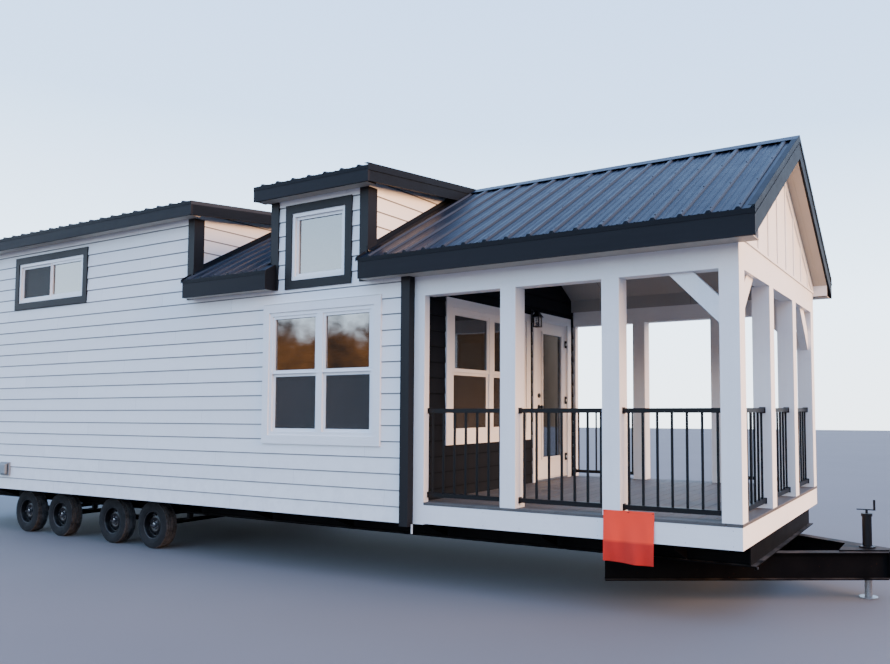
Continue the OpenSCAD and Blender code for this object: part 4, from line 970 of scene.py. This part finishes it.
shape = bmesh.new()
fascia_face = main_edge - 0.006
for x, out in ((main_runs[0][0], -1), (main_runs[0][1], 1), (main_runs[1][0], -1)):
    add_bent(
        shape, (x, cheek_half - 0.014, box_low_z + 0.004),
        (x + out * fold_t, fascia_face, main_ridge_z),
        lambda co: main_ridge_z - 0.028 - co.y * main_slope if co.z > box_low_z + 0.1 else co.z)
high_soffit = [p for p in soffit_points if p.z > 4.0 and abs(p.y) > abs(near_side)]
soffit_low, soffit_high = corners_of(high_soffit)
for x, out in ((soffit_low.x, -1), (soffit_high.x, 1)):
    for side in (-1, 1):
        add_block(shape, (x, side * (abs(near_side) + 0.012), soffit_low.z - 0.002),
                  (x + out * 0.002, side * (dormer_edge - 0.004), soffit_high.z + 0.010))
new_piece("eave_ends", shape, trim_metal)


# Drip edges: folded strips of the trim colour that cover the edges of the roof deck, so
# that only the sheets' thin ends and the open ends of their ribs show over the fascias.
drip_metal = roof_paint("drip_edge_paint", (0.0090, 0.0092, 0.0110), 0, gloss=0.42)
roof_deck_t = 0.0447
shape = bmesh.new()
for node in ("roof_near", "dormer_roofs"):
    edge = slope_of(node)[1]
    low_z = min(p.z for p in edge_points(node))
    for x0, x1 in runs_of(edge_points(node)):
        for side in (-1, 1):
            add_block(shape, (x0, side * (edge - 0.001), low_z),
                      (x1, side * (edge + fold_t), low_z + roof_deck_t - 0.004))
new_piece("drip_edges", shape, drip_metal)


# Windows: white vinyl hung pairs, a picture window in each dormer and sliders in the
# loft, with double glazing held by dark gaskets.
def moulded_vinyl(name, colour, gloss):
    """Smooth extruded plastic with the faintest ripple."""
    material, place = new_finish(name)
    ripple = noise(place, 14.0, 2.0)
    film = noise(place, 4.0, 5.0, 0.65)
    return shade(material, {
        "Base Color": film.tint(toned(colour, 0.92), colour),
        "Roughness": gloss + film * 0.12,
        "Normal": relief(ripple, 0.0005, 0.35),
    })


white_vinyl = moulded_vinyl("white_vinyl", (0.84, 0.85, 0.85), 0.28)
dress(white_vinyl, "window_frames")
dress(white_x, "white_casings")
dress(black_paint, "black_casings")

pane, place = new_finish("window_panes")
wave = noise(place, 1.6, 2.0)
film = noise(place, 5.0, 5.0, 0.7)
shade(pane, {
    "Base Color": film.tint((0.0030, 0.0036, 0.0040), (0.0080, 0.0085, 0.0090)),
    "Roughness": 0.015 + film * 0.03,
    "Alpha": 0.82,
    "IOR": 2.1,
    "Specular IOR Level": 1.0,
    "Coat Weight": 0.15,
    "Coat Roughness": 0.02,
    "Normal": relief(wave, 0.004, 0.25),
})
dress(pane, "window_glass", "door_glass")


def solids_of(node):
    """The lowest and highest corner of each separate solid in a CAD node."""
    shape = bmesh.new()
    shape.from_mesh(cad[node].data)
    bmesh.ops.remove_doubles(shape, verts=shape.verts, dist=0.00002)
    left = set(shape.verts)
    found = []
    while left:
        reached = [left.pop()]
        corners = []
        while reached:
            vert = reached.pop()
            corners.append(vert.co.copy())
            for edge in vert.link_edges:
                other = edge.other_vert(vert)
                if other in left:
                    left.remove(other)
                    reached.append(other)
        found.append(corners_of(corners))
    shape.free()
    return sorted(found, key=lambda pair: tuple(round(value, 4) for value in (*pair[0], *pair[1])))


panes = solids_of("window_glass")
body_middle_x = (cad_box[0].x + cad_box[1].x) / 2


def facing_of(low, high):
    """The thin axis of a pane, and the side that it looks out to."""
    size = high - low
    axis = 0 if size.x < size.y else 1
    middle = (low + high) / 2
    out = math.copysign(1.0, middle.x - body_middle_x if axis == 0 else middle.y)
    return axis, int(out)


def add_pane_ring(shape, low, high, axis, out, grow, width, near, far):
    """Four bars round a pane: grow moves the ring out, near and far are its depths."""
    wide = 1 - axis
    a0, a1 = low[wide] - grow, high[wide] + grow
    z0, z1 = low.z - grow, high.z + grow
    face = high[axis] if out > 0 else low[axis]
    for w0, w1, b0, b1 in (
            (a0, a1, z0, z0 + width), (a0, a1, z1 - width, z1),
            (a0, a0 + width, z0 + width, z1 - width), (a1 - width, a1, z0 + width, z1 - width)):
        corner_low, corner_high = [0.0, 0.0, b0], [0.0, 0.0, b1]
        corner_low[wide], corner_high[wide] = w0, w1
        corner_low[axis], corner_high[axis] = face + out * near, face + out * far
        add_block(shape, corner_low, corner_high)


gasket = mottled(
    "black_gasket", 30.0, (0.010, 0.010, 0.011), (0.022, 0.022, 0.023), {"Roughness": 0.6})
shape = bmesh.new()
for low, high in panes:
    axis, out = facing_of(low, high)
    add_pane_ring(shape, low, high, axis, out, grow=-0.0075, width=0.005, near=0.0, far=0.0015)
new_piece("glazing_gaskets", shape, gasket)


# Half screens stand in front of each lower sash, and one covers the loft slider's left
# light: grey fibre mesh in thin frames.
screen_mesh, place = new_finish("screen_mesh")
thread_step = 0.0016
upright = (place.axis(2) % thread_step) < thread_step * 0.35
level = ((place.axis(0) + place.axis(1)) % thread_step) < thread_step * 0.35
strands = upright.math("MAXIMUM", upright, level)
haze = noise(place, 3.0, 4.0)
shade(screen_mesh, {
    "Base Color": haze.tint((0.044, 0.039, 0.034), (0.064, 0.057, 0.050)),
    "Roughness": 0.8,
    "Alpha": 0.44 + strands * 0.22,
})
screen_bar = moulded_vinyl("screen_bar", (0.040, 0.041, 0.044), 0.4)
slider_tall = 0.55
mesh_depth = 0.013
mesh_half = 0.0004
mesh_shape = bmesh.new()
bar_shape = bmesh.new()
for low, high in panes:
    axis, out = facing_of(low, high)
    wide = 1 - axis
    starts = [other[0] for other in panes if abs(other[0][axis] - low[axis]) < 0.05]
    above = [at for at in starts if abs(at[wide] - low[wide]) < 0.01 and 0.02 < at.z - high.z < 0.15]
    beside = [at for at in starts if abs(at.z - low.z) < 0.01 and 0.02 < at.x - high.x < 0.12]
    slider = axis == 1 and beside and high.z - low.z < slider_tall
    if not (above or slider):
        continue
    add_pane_ring(bar_shape, low, high, axis, out, grow=0.004, width=0.010, near=0.010, far=0.016)
    face = (high[axis] if out > 0 else low[axis]) + out * mesh_depth
    corner_low, corner_high = low.copy(), high.copy()
    corner_low[axis], corner_high[axis] = face - mesh_half, face + mesh_half
    add_block(mesh_shape, corner_low, corner_high)
new_piece("screen_frames", bar_shape, screen_bar)
new_piece("window_screens", mesh_shape, screen_mesh)


# The door: a white full-glass leaf in a white frame, with a raised moulding, black
# hinges, a knob and a deadbolt, and an aluminium sill.
dress(white_z, "door_frame")
door_paint = painted_wood("door_paint", (0.74, 0.74, 0.73), 2, gloss=0.34, depth=0.0003)
dress(door_paint, "door_leaf")
black_metal = painted_steel("black_hardware_paint", (0.0035, 0.0035, 0.0040), dust=0.05, gloss=0.3)
dress(black_metal, "door_hinges", "door_handle")
glass_low, glass_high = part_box("door_glass")
leaf_low, leaf_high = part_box("door_leaf")
shape = bmesh.new()
for out in (-1, 1):
    add_pane_ring(
        shape, glass_low, glass_high, 0, out, grow=-0.001, width=0.006, near=0.0, far=0.002)
new_piece("door_glass_gasket", shape, gasket, "door")
moulding_w = 0.028
moulding_face = leaf_high.x - glass_high.x
shape = bmesh.new()
for out in (-1, 1):
    for grow, wide, near, far in (
            (moulding_w - 0.003, moulding_w, 0.002, moulding_face + 0.007),
            (moulding_w - 0.009, 0.010, moulding_face, moulding_face + 0.010)):
        add_pane_ring(shape, glass_low, glass_high, 0, out, grow, wide, near, far)
new_piece("door_glass_moulding", shape, door_paint, "door")
hinge_screw = 0.018
shape = bmesh.new()
for low, high in solids_of("door_hinges"):
    add_block(shape, (leaf_high.x - 0.0005, low.y - 0.037, low.z),
              (leaf_high.x + 0.0015, low.y - 0.011, high.z), 0.0004)
    for z in (low.z + hinge_screw, (low.z + high.z) / 2, high.z - hinge_screw):
        spot = (leaf_high.x + 0.001, low.y - 0.024, z)
        add_head(shape, spot, (1, 0, 0), screw_layers, taper=screw_taper)
new_piece("door_hinge_leaves", shape, black_metal, "door")
frame_low, frame_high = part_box("door_frame")
shape = bmesh.new()
add_block(shape, (frame_high.x - 0.001, leaf_low.y, frame_low.z + 0.002),
          (frame_high.x + 0.003, leaf_high.y, frame_low.z + 0.026), 0.001)
new_piece("door_sill_nosing", shape, zinc("sill_aluminium"))


# The porch lantern: a black open lantern on a wall plate, with clear glass in its four
# sides and a frosted bulb.
dress(black_metal, "porch_lantern")
lantern_low, lantern_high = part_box("porch_lantern")
lantern_w = 0.086
lantern_body = 0.129
lantern_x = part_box("porch_wall_near")[1].x + 0.050 + lantern_w / 2
lantern_y = (lantern_low.y + lantern_high.y) / 2
frosted_glass = mottled(
    "frosted_bulb", 90.0, (0.72, 0.70, 0.66), (0.86, 0.84, 0.80), {"Roughness": 0.3})
lantern_glass = mottled(
    "lantern_glass", 25.0, (0.55, 0.56, 0.56), (0.75, 0.76, 0.76),
    {"Roughness": 0.04, "Alpha": 0.28, "Specular IOR Level": 1.0})
pane_out = lantern_w / 2 - 0.005
pane_half = pane_out - 0.005
pane_t = 0.001
z0, z1 = lantern_low.z + 0.013, lantern_low.z + lantern_body
shape = bmesh.new()
for side in (-1, 1):
    x, y = lantern_x + side * pane_out, lantern_y + side * pane_out
    add_block(shape, (x - pane_t, lantern_y - pane_half, z0), (x + pane_t, lantern_y + pane_half, z1))
    add_block(shape, (lantern_x - pane_half, y - pane_t, z0), (lantern_x + pane_half, y + pane_t, z1))
new_piece("lantern_panes", shape, lantern_glass)
bulb_radius = 0.0225
bulb_place = Matrix.Translation((lantern_x, lantern_y, (z0 + z1) / 2))
bulb_shape = Matrix.Diagonal((1.0, 1.0, 1.5, 1.0))
shape = bmesh.new()
bmesh.ops.create_uvsphere(
    shape, u_segments=20, v_segments=12, radius=bulb_radius, matrix=bulb_place @ bulb_shape)
new_piece("lantern_bulb", shape, frosted_glass, smooth=60)


# The outlet box low on the near side, near the wheels: a weatherproof cover of pale
# plastic with a hinged lid.
outlet_plastic = moulded_vinyl("outlet_plastic", (0.23, 0.25, 0.26), 0.5)
dress(outlet_plastic, "outlet_box")
box_low, box_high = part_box("outlet_box")
shape = bmesh.new()
add_block(shape, (box_low.x - 0.030, box_high.y - 0.020, box_low.z - 0.012),
          (box_high.x + 0.070, box_high.y + 0.001, box_high.z + 0.012), 0.003)
add_block(shape, (box_low.x - 0.018, box_low.y - 0.012, box_low.z + 0.012),
          (box_high.x + 0.050, box_low.y + 0.020, box_high.z - 0.012), 0.010)
add_block(shape, (box_low.x - 0.018, box_high.y - 0.036, box_high.z - 0.018),
          (box_high.x + 0.050, box_high.y - 0.016, box_high.z + 0.004), 0.003)
new_piece("outlet_cover", shape, outlet_plastic)


# Small fittings low down: a white reflector tab under the corner board, and a lamp on a
# bracket under the near end of the front header.
reflector_white, place = new_finish("reflector_white")
prism = place.node("ShaderNodeTexVoronoi", {}, {"Vector": place, "Scale": 300.0})
shade(reflector_white, {
    "Base Color": prism.tint((0.70, 0.69, 0.66), (0.86, 0.85, 0.82)),
    "Roughness": 0.25,
    "Normal": relief(prism, 0.0005, 0.4),
})
board_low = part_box("black_corner_boards")[0]
board_face = max(v.co.x for v in cad["black_corner_boards"].data.vertices)
shape = bmesh.new()
add_block(shape, (board_face + 0.008, near_side + 0.030, board_low.z - 0.072),
          (board_face + 0.030, near_side + 0.034, board_low.z + 0.024), 0.001)
new_piece("reflector_tab", shape, reflector_white)
header_low, header_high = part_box("front_header")
lamp_y = header_low.y + 0.080
lamp_depth = 0.016
shape = bmesh.new()
lens = bmesh.new()
add_block(shape, (header_high.x - 0.032, lamp_y - 0.030, header_low.z - 0.040),
          (header_high.x - 0.026, lamp_y + 0.030, header_low.z), 0.001)
for target, radius, inset in ((shape, 0.020, 0.018), (lens, 0.013, 0.010)):
    turn = Matrix.Translation((header_high.x - inset, lamp_y, header_low.z - 0.018))
    turn = turn @ Matrix.Rotation(math.radians(90), 4, "Y")
    bmesh.ops.create_cone(
        target, cap_ends=True, segments=24, radius1=radius, radius2=radius * 0.9,
        depth=lamp_depth, matrix=turn)
new_piece("marker_lamp_bracket", shape, chassis_paint)
new_piece("marker_lamp_lens", lens, screw_steel)


# The transport flag: a square of orange vinyl-coated cloth, stapled to the porch fascia
# by its top edge, that hangs in soft folds past the foot of the board.
flag_low, flag_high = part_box("transport_flag")
porch_low_z = fascia_low.z
flag_cloth, place = new_finish("flag_cloth")
weft = place.node("ShaderNodeTexWave", {"bands_direction": "X"}, {"Vector": place, "Scale": 220.0})
warp = place.node("ShaderNodeTexWave", {"bands_direction": "Z"}, {"Vector": place, "Scale": 220.0})
crease = noise(place, 5.0, 4.0, 0.6)
shade(flag_cloth, {
    # Painted light and shade: the cloth is lighter where it lies over the white fascia and darker
    # where it hangs below the board's foot.
    "Base Color": ramp(place.axis(2), porch_low_z - 0.016, porch_low_z + 0.008).tint(
        crease.tint((0.50, 0.0080, 0.0002), (0.66, 0.0130, 0.0004)),
        crease.tint((1.0, 0.032, 0.006), (1.0, 0.055, 0.014))),
    "Roughness": 0.52 + crease * 0.15,
    "Normal": relief(weft * 0.25 + warp * 0.25 + crease * 4.0, 0.0016, 0.5),
})
stapled_strip = 0.022
flag_high.z += stapled_strip
flag_w, flag_h = flag_high.x - flag_low.x, flag_high.z - flag_low.z
shape = bmesh.new()
bmesh.ops.create_grid(shape, x_segments=60, y_segments=54, size=0.5)
for vert in shape.verts:
    across, down = vert.co.x + 0.5, 0.5 - vert.co.y
    broad_fold = 0.006 * math.sin(across * 9.0 + down * 2.2)
    fold = broad_fold + 0.004 * math.sin(across * 17.0 - down * 3.0)
    bulge = 0.012 * math.sin(down * math.pi * 0.8)
    vert.co = Vector((
        flag_low.x + across * flag_w - 0.010 * down * (across - 0.5),
        flag_low.y + 0.0015 - (fold + 0.010) * down - bulge * down,
        flag_high.z - down * (flag_h * 0.975 + 0.014 * across - 0.003 * math.sin(across * 7.0)),
    ))
flag = new_piece("flag_cloth_square", shape, flag_cloth, smooth=60)
staple_half = 0.009
shape = bmesh.new()
for across in (0.02, 0.5, 0.98):
    x = flag_low.x + across * flag_w
    add_block(shape, (x - staple_half, flag_low.y - 0.0015, flag_high.z - 0.014),
              (x + staple_half, flag_low.y + 0.003, flag_high.z - 0.010), 0.0005)
new_piece("flag_staples", shape, black_metal)
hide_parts("transport_flag")
